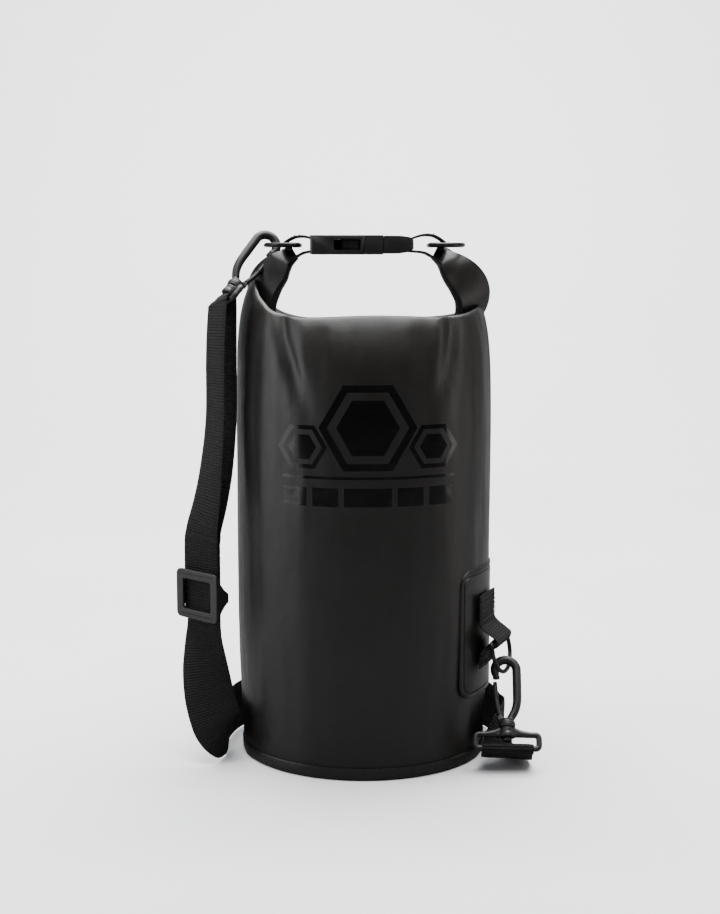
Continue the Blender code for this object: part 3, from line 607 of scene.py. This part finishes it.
def make_band():
    """The rolled top with its two upturned arms; the right arm is a separate mesh."""
    rings = band_rings()
    part(loft("rolled_cloth", rings[:SHOULDER + 2], FABRIC, smooth=36), "bag", "rolled_top")
    right = loft("right_arm_cloth", rings[SHOULDER:], FABRIC, smooth=36)
    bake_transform(right)
    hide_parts("right_ear")


def turned(name, profile, finish, closed=False):
    """A profile of radius and height turned about Z; an open one starts and ends on the axis."""
    bm = bmesh.new()
    rows = []
    for radius, height in profile:
        if radius < 1e-6:
            rows.append([bm.verts.new((0, 0, height))])
        else:
            rows.append([bm.verts.new((radius * math.cos(2 * math.pi * k / TURNED_SIDES),
                                       radius * math.sin(2 * math.pi * k / TURNED_SIDES), height))
                         for k in range(TURNED_SIDES)])
    for a, b in zip(rows, rows[1:] + (rows[:1] if closed else [])):
        for k in range(TURNED_SIDES):
            j = (k + 1) % TURNED_SIDES
            corners = [a[k % len(a)], a[j % len(a)], b[j % len(b)], b[k % len(b)]]
            bm.faces.new(list(dict.fromkeys(corners)))
    return add_object(name, bm, finish)


def make_base():
    """Welded base: plain disc with a rounded edge, and the rim tape with its row of weld marks."""
    profile = [(0.0, 0.0019), (0.0870, 0.0019), (0.0890, 0.0016), (0.0902, 0.0010), (0.0898, 0.0003),
               (0.0880, 0.0), (0.0, 0.0)]
    part(turned("base_disc_cloth", profile, FABRIC), "bag", "base_disc")
    rim = [(0.0908, 0.0092), (0.0911, 0.0093), (0.0913, 0.0089), (0.0914, 0.0078), (0.0914, 0.0050),
           (0.0912, 0.0028), (0.0908, 0.0014), (0.0905, 0.0010), (0.0906, 0.0040)]
    part(turned("rim_tape", rim, FABRIC_EDGE, closed=True), "bag", "base_rim")
    marks = []
    count = 92
    for k in range(count):
        start, end = (2 * math.pi * (k + t) / count for t in (0.15, 0.72))
        points = [(0.0914 * math.cos(a), 0.0914 * math.sin(a), 0.0081)
                  for a in (start, (start + end) / 2, end)]
        marks.append(tube("mark", points, 0.00022, FABRIC_EDGE, sides=1))
    part(join("rim_weld_marks", marks), "bag")


def wrapped_panel(name, middle, half_width, low, high, inner, thick, finish, corner=0.012):
    """A welded panel with rounded corners and a pressed weld line, wrapped round the tube."""
    half_height = (high - low) / 2
    steps = [(0.0, 0.0), (0.0, 0.6), (0.0005, 1.0), (0.0030, 1.0), (0.0036, 0.35), (0.0044, 0.35),
             (0.0050, 1.0)]
    inset = 0.009
    while inset < half_width - 0.002:
        steps.append((inset, 1.0))
        inset += 0.006
    rings = []
    for inset, rise in steps:
        w, h = half_width - inset, half_height - inset
        r = min(max(corner - inset, 0.0008), w * 0.95)
        outline = []
        corners = ((w - r, h - r, 0, r - w, h), (r - w, h - r, 90, -w, r - h),
                   (r - w, r - h, 180, w - r, -h), (w - r, r - h, 270, w, h - r))
        for cx, cy, start, next_x, next_y in corners:
            for k in range(9):
                a = math.radians(start + 90 * k / 8)
                outline.append((cx + r * math.cos(a), cy + r * math.sin(a)))
            x, y = outline[-1]
            outline += [(x + (next_x - x) * k / 12, y + (next_y - y) * k / 12) for k in range(1, 12)]
        ring = []
        for u, v in outline:
            angle = middle + u / inner
            radius = inner + thick * rise
            ring.append(Vector((radius * math.cos(angle), radius * math.sin(angle), (low + high) / 2 + v)))
        rings.append(ring)
    return loft(name, rings, finish, smooth=50)


def make_panels():
    patch = wrapped_panel("patch_cloth", math.radians(-20), 0.0378, 0.050, 0.144, BODY_RADIUS - 0.0003,
                          0.0013, FABRIC)
    part(patch, "bag", "side_patch")
    seam = wrapped_panel("seam_tape_cloth", math.radians(110), 0.0100, 0.012, 0.262, BODY_RADIUS - 0.0006,
                         0.0014, FABRIC_EDGE, corner=0.003)
    part(seam, "bag", "back_seam_tape")
    node = NODES["stiffener_strip"]
    node.data.materials.clear()
    node.data.materials.append(PLASTIC)

# ---------------- rings, hooks and buckle

RING_DEPTH, RING_HALF, RING_WIRE = 0.0245, 0.0208, 0.0016
HOOK_LENGTH, HOOK_EYE, HOOK_WIRE = 0.058, 0.0080, 0.0028
BASE_HALF, BASE_WIRE, BASE_HEIGHT = 0.0228, 0.0022, 0.0100
TAB_ANGLE = math.radians(-21)


def radial(angle, radius, height):
    return Vector((radius * math.cos(angle), radius * math.sin(angle), height))


LEFT_BAR, RIGHT_BAR = Vector((-0.0470, 0, CLOSURE)), Vector((0.0485, 0, CLOSURE))
SIDE_BAR = radial(TAB_ANGLE, 0.1060, 0.0905)
UPPER_EYE = LEFT_BAR - Vector((RING_DEPTH, 0, 0))
SIDE_EYE = SIDE_BAR + Vector((0.0050, -0.0019, -0.0239))
UPPER_AXIS = Vector((0.520, 0.449, 0.727)).normalized()
LOWER_AXIS = Vector((0.017, 0.540, 0.8415)).normalized()
UPPER_SPINE, LOWER_SPINE = Vector((-0.814, 0, 0.582)), Vector((1, 0, -0.0202))
UPPER_WAY, LOWER_WAY = Vector((0.436, -0.871, 0.227)), Vector((-1, 0, 0.0202))
UPPER_LOOP = UPPER_EYE - UPPER_AXIS * HOOK_LENGTH
LOWER_LOOP = SIDE_EYE - LOWER_AXIS * HOOK_LENGTH


def make_ring(body, bar, bar_way, arc_way):
    bar_way, arc_way = Vector(bar_way).normalized(), Vector(arc_way)
    arc_way = (arc_way - bar_way * arc_way.dot(bar_way)).normalized()
    corner, edge = 0.0040, RING_HALF - 0.0040
    flat = [(-edge + 2 * edge * k / 8, 0.0) for k in range(9)]
    flat += [(edge + corner * math.cos(a), corner + corner * math.sin(a))
             for a in (math.radians(t) for t in (-75, -60, -45, -30, -15))]
    flat += [(RING_HALF * math.cos(a), 0.0080 + (RING_DEPTH - 0.0080) * math.sin(a))
             for a in (math.pi * k / 40 for k in range(41))]
    flat += [(-edge + corner * math.cos(a), corner + corner * math.sin(a))
             for a in (math.radians(t) for t in (195, 210, 225, 240, 255))]
    ring = tube(body + "_wire", [bar + bar_way * u + arc_way * v for u, v in flat], RING_WIRE, STEEL,
                cyclic=True)
    part(ring, body, body)


def make_rings():
    make_ring("left_ring", LEFT_BAR, (0, 1, 0), (-1, 0, 0))
    make_ring("right_ring", RIGHT_BAR, (0, 1, 0), (1, 0, 0))
    make_ring("side_ring", SIDE_BAR, (-math.sin(TAB_ANGLE), math.cos(TAB_ANGLE), 0), SIDE_EYE - SIDE_BAR)


def make_hook(side, loop, axis, spine, way):
    """Snap hook with its swivel loop: the stem turns in the boss, and the gate springs inward."""
    def place(u, v):
        return loop + spine * u + axis * v

    side_way = spine.cross(axis)
    # Hook: collar, spine and round eye, thicker at the bend
    points = [(0.0008, 0.0188), (0.0032, 0.0225), (0.0062, 0.0280), (0.0078, 0.0350), (0.0080, 0.0460)]
    points += [(HOOK_EYE * math.cos(a), HOOK_LENGTH + HOOK_EYE * math.sin(a))
               for a in (math.radians(15 * k) for k in range(15))]
    line = catmull(points, 3)
    shares = [k / len(line) for k in range(len(line))]
    wire = tube("wire", [place(*p) for p in line], HOOK_WIRE, sides=5,
                radii=[1.02 + 0.17 * smoothstep(0.0, 0.25, t) * smoothstep(1.0, 0.8, t) for t in shares])
    nose, pin = place(*points[-1]), place(-0.0046, 0.0240)
    pin_way = side_way.normalized()
    pieces = [wire, rod("nose", nose, nose - axis * 0.0026, 0.0026),
              rod("collar", place(0, 0.0152), place(0, 0.0192), 0.0060),
              rod("collar_top", place(0, 0.0190), place(0, 0.0214), 0.0052),
              rod("stem", place(0, 0.0060), place(0, 0.0160), 0.0020),
              rod("stem_head", place(0, 0.0050), place(0, 0.0072), 0.0035),
              rod("ear", place(-0.0046, 0.0216) + side_way * 0.0024,
                  place(-0.0046, 0.0216) - side_way * 0.0024, 0.0022)]
    part(fuse(side + "_hook_body", pieces, voxel=0.00035, rounds=4), side + "_hook", side + "_hook")
    groove = [place(0.0059 * math.cos(a), 0.0172) + side_way * 0.0059 * math.sin(a)
              for a in (2 * math.pi * k / 32 for k in range(32))]
    part(tube(side + "_collar_bead", groove, 0.00045, cyclic=True, sides=2), side + "_hook")

    # Gate: a tapered sprung arm with a thumb pad near its tip and a hinge pin at its foot
    arm = catmull([(-0.0046, 0.0240), (-0.0066, 0.0310), (-0.0077, 0.0400), (-0.0079, 0.0490)], 5)
    gate = tube("gate_arm", [place(*p) for p in arm], 0.0017, sides=4,
                radii=[1.08 - 0.16 * k / len(arm) for k in range(len(arm))])
    pads = [rod("pad", place(-0.0074, 0.0372), place(-0.0080, 0.0452), 0.0019)]
    for v in (0.0385, 0.0405, 0.0425, 0.0445):
        pads.append(rod("ridge", place(-0.0094, v) + pin_way * 0.0012, place(-0.0094, v) - pin_way * 0.0012,
                        0.00045))
    part(fuse(side + "_gate_arm", [gate] + pads, voxel=0.00028, rounds=2), side + "_gate", side + "_gate")
    part(rod(side + "_gate_pin", pin + pin_way * 0.0023, pin - pin_way * 0.0023, 0.0008, STEEL),
         side + "_gate")

    # Swivel: a rounded oblong loop for the webbing, with its boss
    way = (way - axis * way.dot(axis)).normalized()
    corner = 0.0026
    flat = []
    for cx, cy, start in ((BASE_HALF, 0.0, -90), (BASE_HALF, BASE_HEIGHT, 0),
                          (-BASE_HALF, BASE_HEIGHT, 90), (-BASE_HALF, 0.0, 180)):
        inner_x, inner_y = cx - math.copysign(corner, cx), cy + (corner if cy == 0 else -corner)
        for k in range(7):
            a = math.radians(start + 15 * k)
            flat.append((inner_x + corner * math.cos(a), inner_y + corner * math.sin(a)))
    pieces = [tube("loop", [loop + way * u + axis * v for u, v in flat], BASE_WIRE, cyclic=True, sides=5)]
    shoulder = ((0.0150, 0.0100), (0.0090, 0.0112), (0.0045, 0.0132))
    pieces += [tube("shoulder", [loop + way * u * s + axis * v for u, v in shoulder], 0.0024)
               for s in (-1, 1)]
    pieces += [rod("boss", place(0, 0.0078), place(0, 0.0148), 0.0054),
               rod("boss_foot", place(0, 0.0080), place(0, 0.0108), 0.0060)]
    swivel = fuse(side + "_swivel_loop", pieces, voxel=0.00042, rounds=4)
    bores = [rod("bore", place(0, 0.0040), place(0, 0.0190), 0.0026),
             rod("recess", place(0, 0.0040), place(0, 0.0076), 0.0040)]
    part(carve(swivel, bores), "bag", side + "_swivel")
    face = way.cross(axis)
    seams = [tube("seam", [place(0, 0.0100) + way * u * s + face * 0.0021 * f for u in (0.0205, 0.0160)],
                  0.00025, sides=1)
             for s in (-1, 1) for f in (-1, 1)]
    part(join(side + "_swivel_parting_line", seams), "bag")


def make_buckle():
    """Side-release buckle: socket with side windows, plug with two sprung prongs."""
    mid, left = CLOSURE, -0.0385
    right, wide = 0.0143, 0.0245
    below, above = mid - 0.02, mid + 0.02       # cuts run from below to above the mouldings
    shell = prism("socket", [(left, -wide + 0.0016), (left + 0.0016, -wide), (right, -wide + 0.0004),
                             (right, wide - 0.0004), (left + 0.0016, wide), (left, wide - 0.0016)],
                  mid - 0.0068, mid + 0.0068)
    tools = [box_between("throat", (-0.0225, -0.0210, mid - 0.0042), (0.03, 0.0210, mid + 0.0042)),
             box_between("windows", (-0.0212, -0.04, mid - 0.0038), (-0.0020, 0.04, mid + 0.0038)),
             box_between("slot", (left + 0.0034, -0.0198, below), (-0.0285, 0.0198, above)),
             box_between("above_bar", (left - 0.01, -0.0198, mid + 0.0026), (-0.0320, 0.0198, above)),
             box_between("below_bar", (left - 0.01, -0.0198, below), (-0.0320, 0.0198, mid - 0.0026))]
    for side in (-1, 1):
        tools.append(box_between("step", (0.0006, side * 0.0241 - 0.0006, below),
                                 (0.0013, side * 0.0241 + 0.0006, above)))
        face = sorted((mid + side * 0.0063, mid + side * 0.0090))
        tools.append(box_between("panel", (-0.0180, -0.0150, face[0]), (0.0060, 0.0150, face[1])))
    part(round_edges(carve(shell, tools), 0.0006), "bag", "buckle_female")
    ribs = [box_between("rib", (x, -0.0110, z - 0.0003), (x + 0.0016, 0.0110, z + 0.0003))
            for x in (-0.0140, -0.0095, -0.0050, -0.0005) for z in (mid - 0.0063, mid + 0.0063)]
    part(round_edges(join("socket_ribs", ribs), 0.0002, 2), "bag")

    root = right + 0.0005
    block = prism("plug", [(root, -0.0239), (0.0245, -0.0228), (0.0338, -0.0216), (0.0362, -0.0196),
                           (0.0362, 0.0196), (0.0338, 0.0216), (0.0245, 0.0228), (root, 0.0239)],
                  below, above)
    taper = prism("taper", [(-0.02, -0.0063), (0.0270, -0.0061), (0.0332, -0.0050), (0.0364, -0.0030),
                            (0.0364, 0.0034), (0.0332, 0.0055), (0.0270, 0.0064), (-0.02, 0.0066)],
                  -0.04, 0.04, place=Matrix.Translation((0, 0, mid)) @ Matrix.Rotation(math.pi / 2, 4, "X"))
    block = carve(block, [taper], "INTERSECT")
    tools = [box_between("slot", (0.0270, -0.0188, below), (0.0328, 0.0188, above)),
             box_between("above_bar", (0.0300, -0.0188, mid + 0.0026), (0.05, 0.0188, above)),
             box_between("below_bar", (0.0300, -0.0188, below), (0.05, 0.0188, mid - 0.0026))]
    for side in (-1, 1):
        face = sorted((mid + side * 0.0056, mid + side * 0.0090))
        tools.append(box_between("panel", (0.0175, -0.0160, face[0]), (0.0240, 0.0160, face[1])))
    block = carve(block, tools)
    tongue = box_between("tongue", (-0.0222, -0.0050, mid - 0.0039), (root + 0.003, 0.0050, mid + 0.0039))
    part(round_edges(carve(block, [tongue], "UNION"), 0.0006), "right_tip", "buckle_male")

    root -= GAP
    for side, name, body in ((-1, "prong_front", "front_prong"), (1, "prong_back", "back_prong")):
        outline = [(root, 0.0125), (root, 0.0160), (-0.0010, 0.0182), (-0.0022, 0.0200), (-0.0040, 0.0207),
                   (-0.0140, 0.0209), (-0.0156, 0.0202), (-0.0166, 0.0182), (-0.0160, 0.0165),
                   (-0.0060, 0.0160)]
        prong = prism(name + "_arm", [(x, side * y) for x, y in outline], mid - 0.0036, mid + 0.0036)
        part(round_edges(prong, 0.0005), body, name)
        grips = [box_between("grip", (x, side * 0.0209 - 0.0004, mid - 0.0027),
                             (x + 0.0008, side * 0.0209 + 0.0004, mid + 0.0027))
                 for x in (-0.0137, -0.0122, -0.0107, -0.0092)]
        part(round_edges(join(name + "_grip", grips), 0.00018, 2), body)

# ---------------- slider and webbing


def rounded(half_width, half_height, radius):
    """Outline of a rectangle with round corners."""
    outline = []
    for cx, cy, start in ((1, 1, 0), (-1, 1, 90), (-1, -1, 180), (1, -1, 270)):
        for k in range(7):
            a = math.radians(start + 15 * k)
            outline.append((cx * (half_width - radius) + radius * math.cos(a),
                            cy * (half_height - radius) + radius * math.sin(a)))
    return outline


def make_slider():
    """Three-bar slider: end bars in front of the strap, middle bar behind it."""
    centre = Vector((-0.1175, -0.0340, 0.1220))
    yaw = math.radians(-44)
    face = Vector((math.sin(yaw), -math.cos(yaw), 0))
    across = Vector((math.cos(yaw), math.sin(yaw), 0))
    place = Matrix.Translation(centre) @ Matrix((face, (0, 0, 1), -across)).transposed().to_4x4()
    profile = [(0.0042, 0.0148), (0.0042, -0.0148), (0.0024, -0.0148), (0.0020, -0.0110), (-0.0020, -0.0060),
               (-0.0056, -0.0032), (-0.0056, 0.0032), (-0.0020, 0.0060), (0.0020, 0.0110), (0.0024, 0.0148)]
    pieces = []
    for side in (-1, 1):
        low, high = sorted((side * 0.0190, side * 0.0226))
        rail = prism("rail", profile, low, high)
        rail.data.transform(place)
        pieces.append(rail)
    pieces.append(box_at("middle_bar", (0.0032, 0.0056, 0.0420),
                         place=place @ Matrix.Translation((-0.0039, 0, 0))))
    plate_place = Matrix.Translation(centre) @ Matrix((across, (0, 0, 1), face)).transposed().to_4x4()
    plate = prism("plate", rounded(0.0226, 0.0180, 0.0042), 0.0038, 0.0061, place=plate_place)
    pieces.append(carve(plate, [prism("opening", rounded(0.0152, 0.0112, 0.0014), 0.0, 0.0090,
                                      place=plate_place)]))
    part(fuse("slider_frame", pieces, voxel=0.0004, rounds=5), "slider", "slider")
    ribs = []
    for z in (-0.0148, 0.0148):
        points = [centre + face * 0.0061 + across * u + Vector((0, 0, z)) for u in (-0.0170, 0.0170)]
        # the ribs take the darker plastic copy, which is painted shade
        ribs.append(tube("rib", points, 0.00035, SHADED_RIB_PLASTIC, sides=2))
    part(join("slider_moulded_ribs", ribs), "slider")


def wrap(bar, across, outward, radius, start, end, steps=18):
    """Stations of webbing round a bar: from an angle to an angle, 0 at outward, 90 on top."""
    across = across.normalized()
    outward = (outward - across * outward.dot(across)).normalized()
    up = across.cross(outward)
    if up.z < 0:
        up = -up
    stations = []
    for k in range(steps + 1):
        a = math.radians(start + (end - start) * k / steps)
        place = bar + outward * radius * math.cos(a) + up * radius * math.sin(a)
        stations.append((*place, *across))
    return stations


TURN_RADIUS = BASE_WIRE + WEB_THICK / 2 + 0.0006
# Hanging strap by height: its middle in X and Y, its turn about Z, half its two layers' spacing
HANG = [(0.1000, -0.1175, -0.0340, -44, 0.00105), (0.1600, -0.1175, -0.0340, -44, 0.00105),
        (0.1720, -0.1157, -0.0337, -48, 0.0017), (0.1900, -0.1112, -0.0325, -54, 0.0030),
        (0.2150, -0.1067, -0.0305, -60, 0.0042), (0.2500, -0.1032, -0.0290, -64, 0.0046),
        (0.2900, -0.1027, -0.0280, -64, 0.0046), (0.3150, -0.1022, -0.0270, -64, 0.0042)]


def hanging(side, height):
    """A station of the hanging strap: the outer layer's for side 1, the inner layer's for -1."""
    below, above = next((a, b) for a, b in zip(HANG, HANG[1:]) if height <= b[0])
    t = (height - below[0]) / (above[0] - below[0])
    x, y, yaw, apart = (a + (b - a) * t for a, b in zip(below[1:], above[1:]))
    across = Vector((math.cos(math.radians(yaw)), math.sin(math.radians(yaw)), 0))
    face = Vector((across.y, -across.x, 0))
    return (*(Vector((x, y, height)) + face * apart * side), *across)


def make_strap():
    """One strap: from the slider up through the upper swivel, back down and round to the lower hook."""
    turn = wrap(UPPER_LOOP, UPPER_WAY, Vector((-0.96, -0.26, 0)), TURN_RADIUS, -10, 190)
    heights = (0.1075, 0.125, 0.145, 0.161, 0.166, 0.172, 0.190, 0.215, 0.250, 0.290, 0.315)
    outer = [hanging(1, height) for height in heights]
    inner = [hanging(-1, height) for height in reversed(heights[3:])]
    loop = catmull(outer + turn[:1], 9) + turn[1:-1] + catmull(turn[-1:] + inner, 9)
    part(ribbon("strap_upper_webbing", loop), "bag", "strap_upper_loop")

    lower = [hanging(-1, height) for height in (0.1605, 0.145, 0.125, 0.100)]
    lower += [(-0.1170, -0.0348, 0.086, 0.80, -0.60, 0.0), (-0.1155, -0.0385, 0.066, 0.94, -0.33, 0.04),
              (-0.1120, -0.0435, 0.0460, 0.97, -0.06, 0.22), (-0.1065, -0.0480, 0.0295, 0.84, 0.14, 0.52),
              (-0.1005, -0.0450, 0.0205, 0.44, 0.36, 0.82), (-0.0990, -0.0310, 0.0195, 0.14, 0.24, 0.96),
              (-0.1020, -0.0130, 0.0196, 0.02, 0.06, 0.998)]
    for k in range(11):
        angle = math.pi - math.pi * k / 10
        lower.append((0.1035 * math.cos(angle), 0.1035 * math.sin(angle), 0.0196, 0, 0, 1))
    lower += [(0.1045, -0.0140, 0.0198, 0.05, 0, 1), (0.1050, -0.0320, 0.0160, -0.45, 0.1, 0.88),
              (0.1045, -0.0470, 0.0092, -0.92, 0, 0.38), (0.1037, -0.0580, 0.0072, -1, 0, 0.05)]
    end = wrap(LOWER_LOOP, LOWER_WAY, Vector((0, 1, 0)), TURN_RADIUS, -60, -250, 16)
    part(ribbon("strap_lower_webbing", catmull(lower + end[:1], 9) + end[1:]), "bag", "strap_lower_run")


def make_tab():
    """Webbing tab sewn to the side patch round the side ring's bar."""
    lap = BODY_RADIUS + 0.0024 + GAP
    profile = [(lap + 0.0002, 0.1240), (lap, 0.1120), (lap + 0.0010, 0.1020), (0.1066, 0.0947),
               (0.1100, 0.0917), (0.1082, 0.0870), (lap + 0.0030, 0.0850), (lap + 0.0006, 0.0800),
               (lap + 0.0002, 0.0710)]
    across = Vector((-math.sin(TAB_ANGLE), math.cos(TAB_ANGLE), 0))
    path = [(*radial(TAB_ANGLE, *p), *across) for p in catmull(profile, 8)]
    part(ribbon("tab_webbing", path), "bag", "patch_tab")
    out = radial(TAB_ANGLE, 1, 0)
    half = WEB_WIDTH / 2 - 0.003
    for low, high in ((0.1055, 0.1215), (0.0735, 0.0805)):
        corners = []
        for s, z in ((-1, high), (1, high), (1, low), (-1, low)):
            radius = lap + 0.0010 + 0.0009 * smoothstep(0.112, 0.100, z) * (z > 0.1)
            corners.append(radial(TAB_ANGLE, radius + (0.0006 if z < 0.1 else 0), z) + across * half * s)
        for k, (a, b) in enumerate(zip(corners, corners[1:] + corners[:1])):
            stitches("tab_stitches_%d_%d" % (round(low * 1000), k), a, b, out, "bag")


def make_end_webbings():
    """Short webbing at each tip of the rolled top: it holds a ring and passes round a buckle bar."""
    ends = [("left", "bag", [(-0.0590, 0.3755), (-0.0555, 0.3784), (-0.0500, 0.3812), (-0.0430, 0.3816)],
             -0.0369, 1, [(-0.0430, 0.3700), (-0.0476, 0.3678), (-0.0514, 0.3650), (-0.0550, 0.3612)]),
            ("right", "right_tip", [(0.0605, 0.3757), (0.0572, 0.3788), (0.0510, 0.3822), (0.0430, 0.3826)],
             0.0346, -1, [(0.0430, 0.3702), (0.0480, 0.3682), (0.0526, 0.3650), (0.0566, 0.3612)])]
    for side, body, top, bar, way, under in ends:
        turn = [(bar + way * 0.0052 * math.cos(a), CLOSURE + 0.0045 * math.sin(a))
                for a in (math.radians(90 - 15 * k) for k in range(13))]
        path = catmull([(x, 0, z) for x, z in top + turn + under], 5)
        part(ribbon(side + "_tip_webbing", [(*p, 0, 1, 0) for p in path], width=0.0350), body,
             side + "_end_webbing")
        (x, z), (far_x, far_z) = top[2:]
        for k, (x, z) in enumerate(((x, z), ((x + far_x) / 2, (z + far_z) / 2 + 0.0002))):
            stitches("%s_tip_stitches_%d" % (side, k), (x, -0.0150, z + 0.0009), (x, 0.0150, z + 0.0009),
                     (0, 0, 1), body)

# ---------------- build, light and view


def area_light(name, place, target, size, power, colour=(1, 1, 1)):
    data = bpy.data.lights.new(name, "AREA")
    data.shape = "RECTANGLE"
    data.size, data.size_y = size
    data.energy = power
    data.color = colour
    lamp = bpy.data.objects.new(name, data)
    bpy.context.scene.collection.objects.link(lamp)
    lamp.location = place
    lamp.rotation_euler = (Vector(target) - Vector(place)).to_track_quat("-Z", "Y").to_euler()


def studio():
    """Pale floor that curves up behind, five soft lights, camera. Gloss mirrors a dark studio: the floor
    is dark to glossy rays, and the world is bright to the camera alone."""
    n = Nodes("pale_floor")
    cloud = n.noise(n.mapped(), 3.0, 4.0)
    n.colours(cloud, (0.755, 0.765, 0.785), (0.795, 0.80, 0.82))
    finish = n.done(n.ramp(cloud, 0.48, 0.60, 0.3, 0.7), Specular_IOR_Level=0.3)
    n.overlay(n.add("LightPath").outputs["Is Glossy Ray"], "Base Color", (0.16, 0.16, 0.165, 1))
    far, flat_end, bend = 9.0, 1.2, 1.0
    profile = [(-far, 0.0), (flat_end, 0.0)]
    profile += [(flat_end + bend * math.sin(a), bend - bend * math.cos(a))
                for a in (math.pi / 2 * k / 16 for k in range(1, 17))]
    profile.append((flat_end + bend, 4.0))
    bm = bmesh.new()
    rows = [[bm.verts.new((x, y, z - 0.0001)) for x in (-far, far)] for y, z in profile]
    for a, b in zip(rows, rows[1:]):
        bm.faces.new((a[0], a[1], b[1], b[0]))
    mesh = bpy.data.meshes.new("floor")
    bm.to_mesh(mesh)
    bm.free()
    mesh.shade_smooth()
    mesh.materials.append(finish)
    floor = bpy.data.objects.new("floor", mesh)
    bpy.context.scene.collection.objects.link(floor)

    middle = (0, 0, 0.19)
    area_light("key_left", (-1.15, -0.25, 0.55), middle, (0.8, 1.4), 11, (0.97, 0.98, 1.0))
    area_light("fill_right", (1.15, -0.05, 0.55), middle, (0.35, 1.2), 3.3, (1.0, 0.95, 0.90))
    area_light("top", (0.0, 0.10, 1.75), (0.0, 0.0, 0.0), (1.6, 1.2), 74)
    area_light("front_top", (0.10, -0.75, 1.45), (0.0, 0.0, 0.30), (1.1, 0.5), 11)
    area_light("sweep", (0.0, 1.05, 2.3), (0.0, 2.1, 0.9), (3.0, 0.8), 170)
    world = bpy.data.worlds.new("studio")
    bpy.context.scene.world = world
    world.use_nodes = True
    sky = world.node_tree.nodes["Background"]
    sky.inputs["Color"].default_value = (0.96, 0.97, 1.0, 1)
    paths = world.node_tree.nodes.new("ShaderNodeLightPath")
    level = world.node_tree.nodes.new("ShaderNodeMapRange")
    level.inputs["To Min"].default_value = 0.12
    level.inputs["To Max"].default_value = 0.76
    world.node_tree.links.new(paths.outputs["Is Camera Ray"], level.inputs["Value"])
    world.node_tree.links.new(level.outputs["Result"], sky.inputs["Strength"])

    camera = bpy.data.objects.new("camera", bpy.data.cameras.new("camera"))
    bpy.context.scene.collection.objects.link(camera)
    camera.location = (-0.0025, -1.15, 0.3597)
    camera.rotation_euler = (math.pi / 2 - 0.1217, 0, 0)
    camera.data.lens = 61.26
    camera.data.sensor_width = 36
    bpy.context.scene.camera = camera


make_tube()
make_band()
make_base()
make_panels()
make_rings()
make_hook("upper", UPPER_LOOP, UPPER_AXIS, UPPER_SPINE, UPPER_WAY)
make_hook("lower", LOWER_LOOP, LOWER_AXIS, LOWER_SPINE, LOWER_WAY)
make_buckle()
make_slider()
make_strap()
make_tab()
make_end_webbings()
studio()
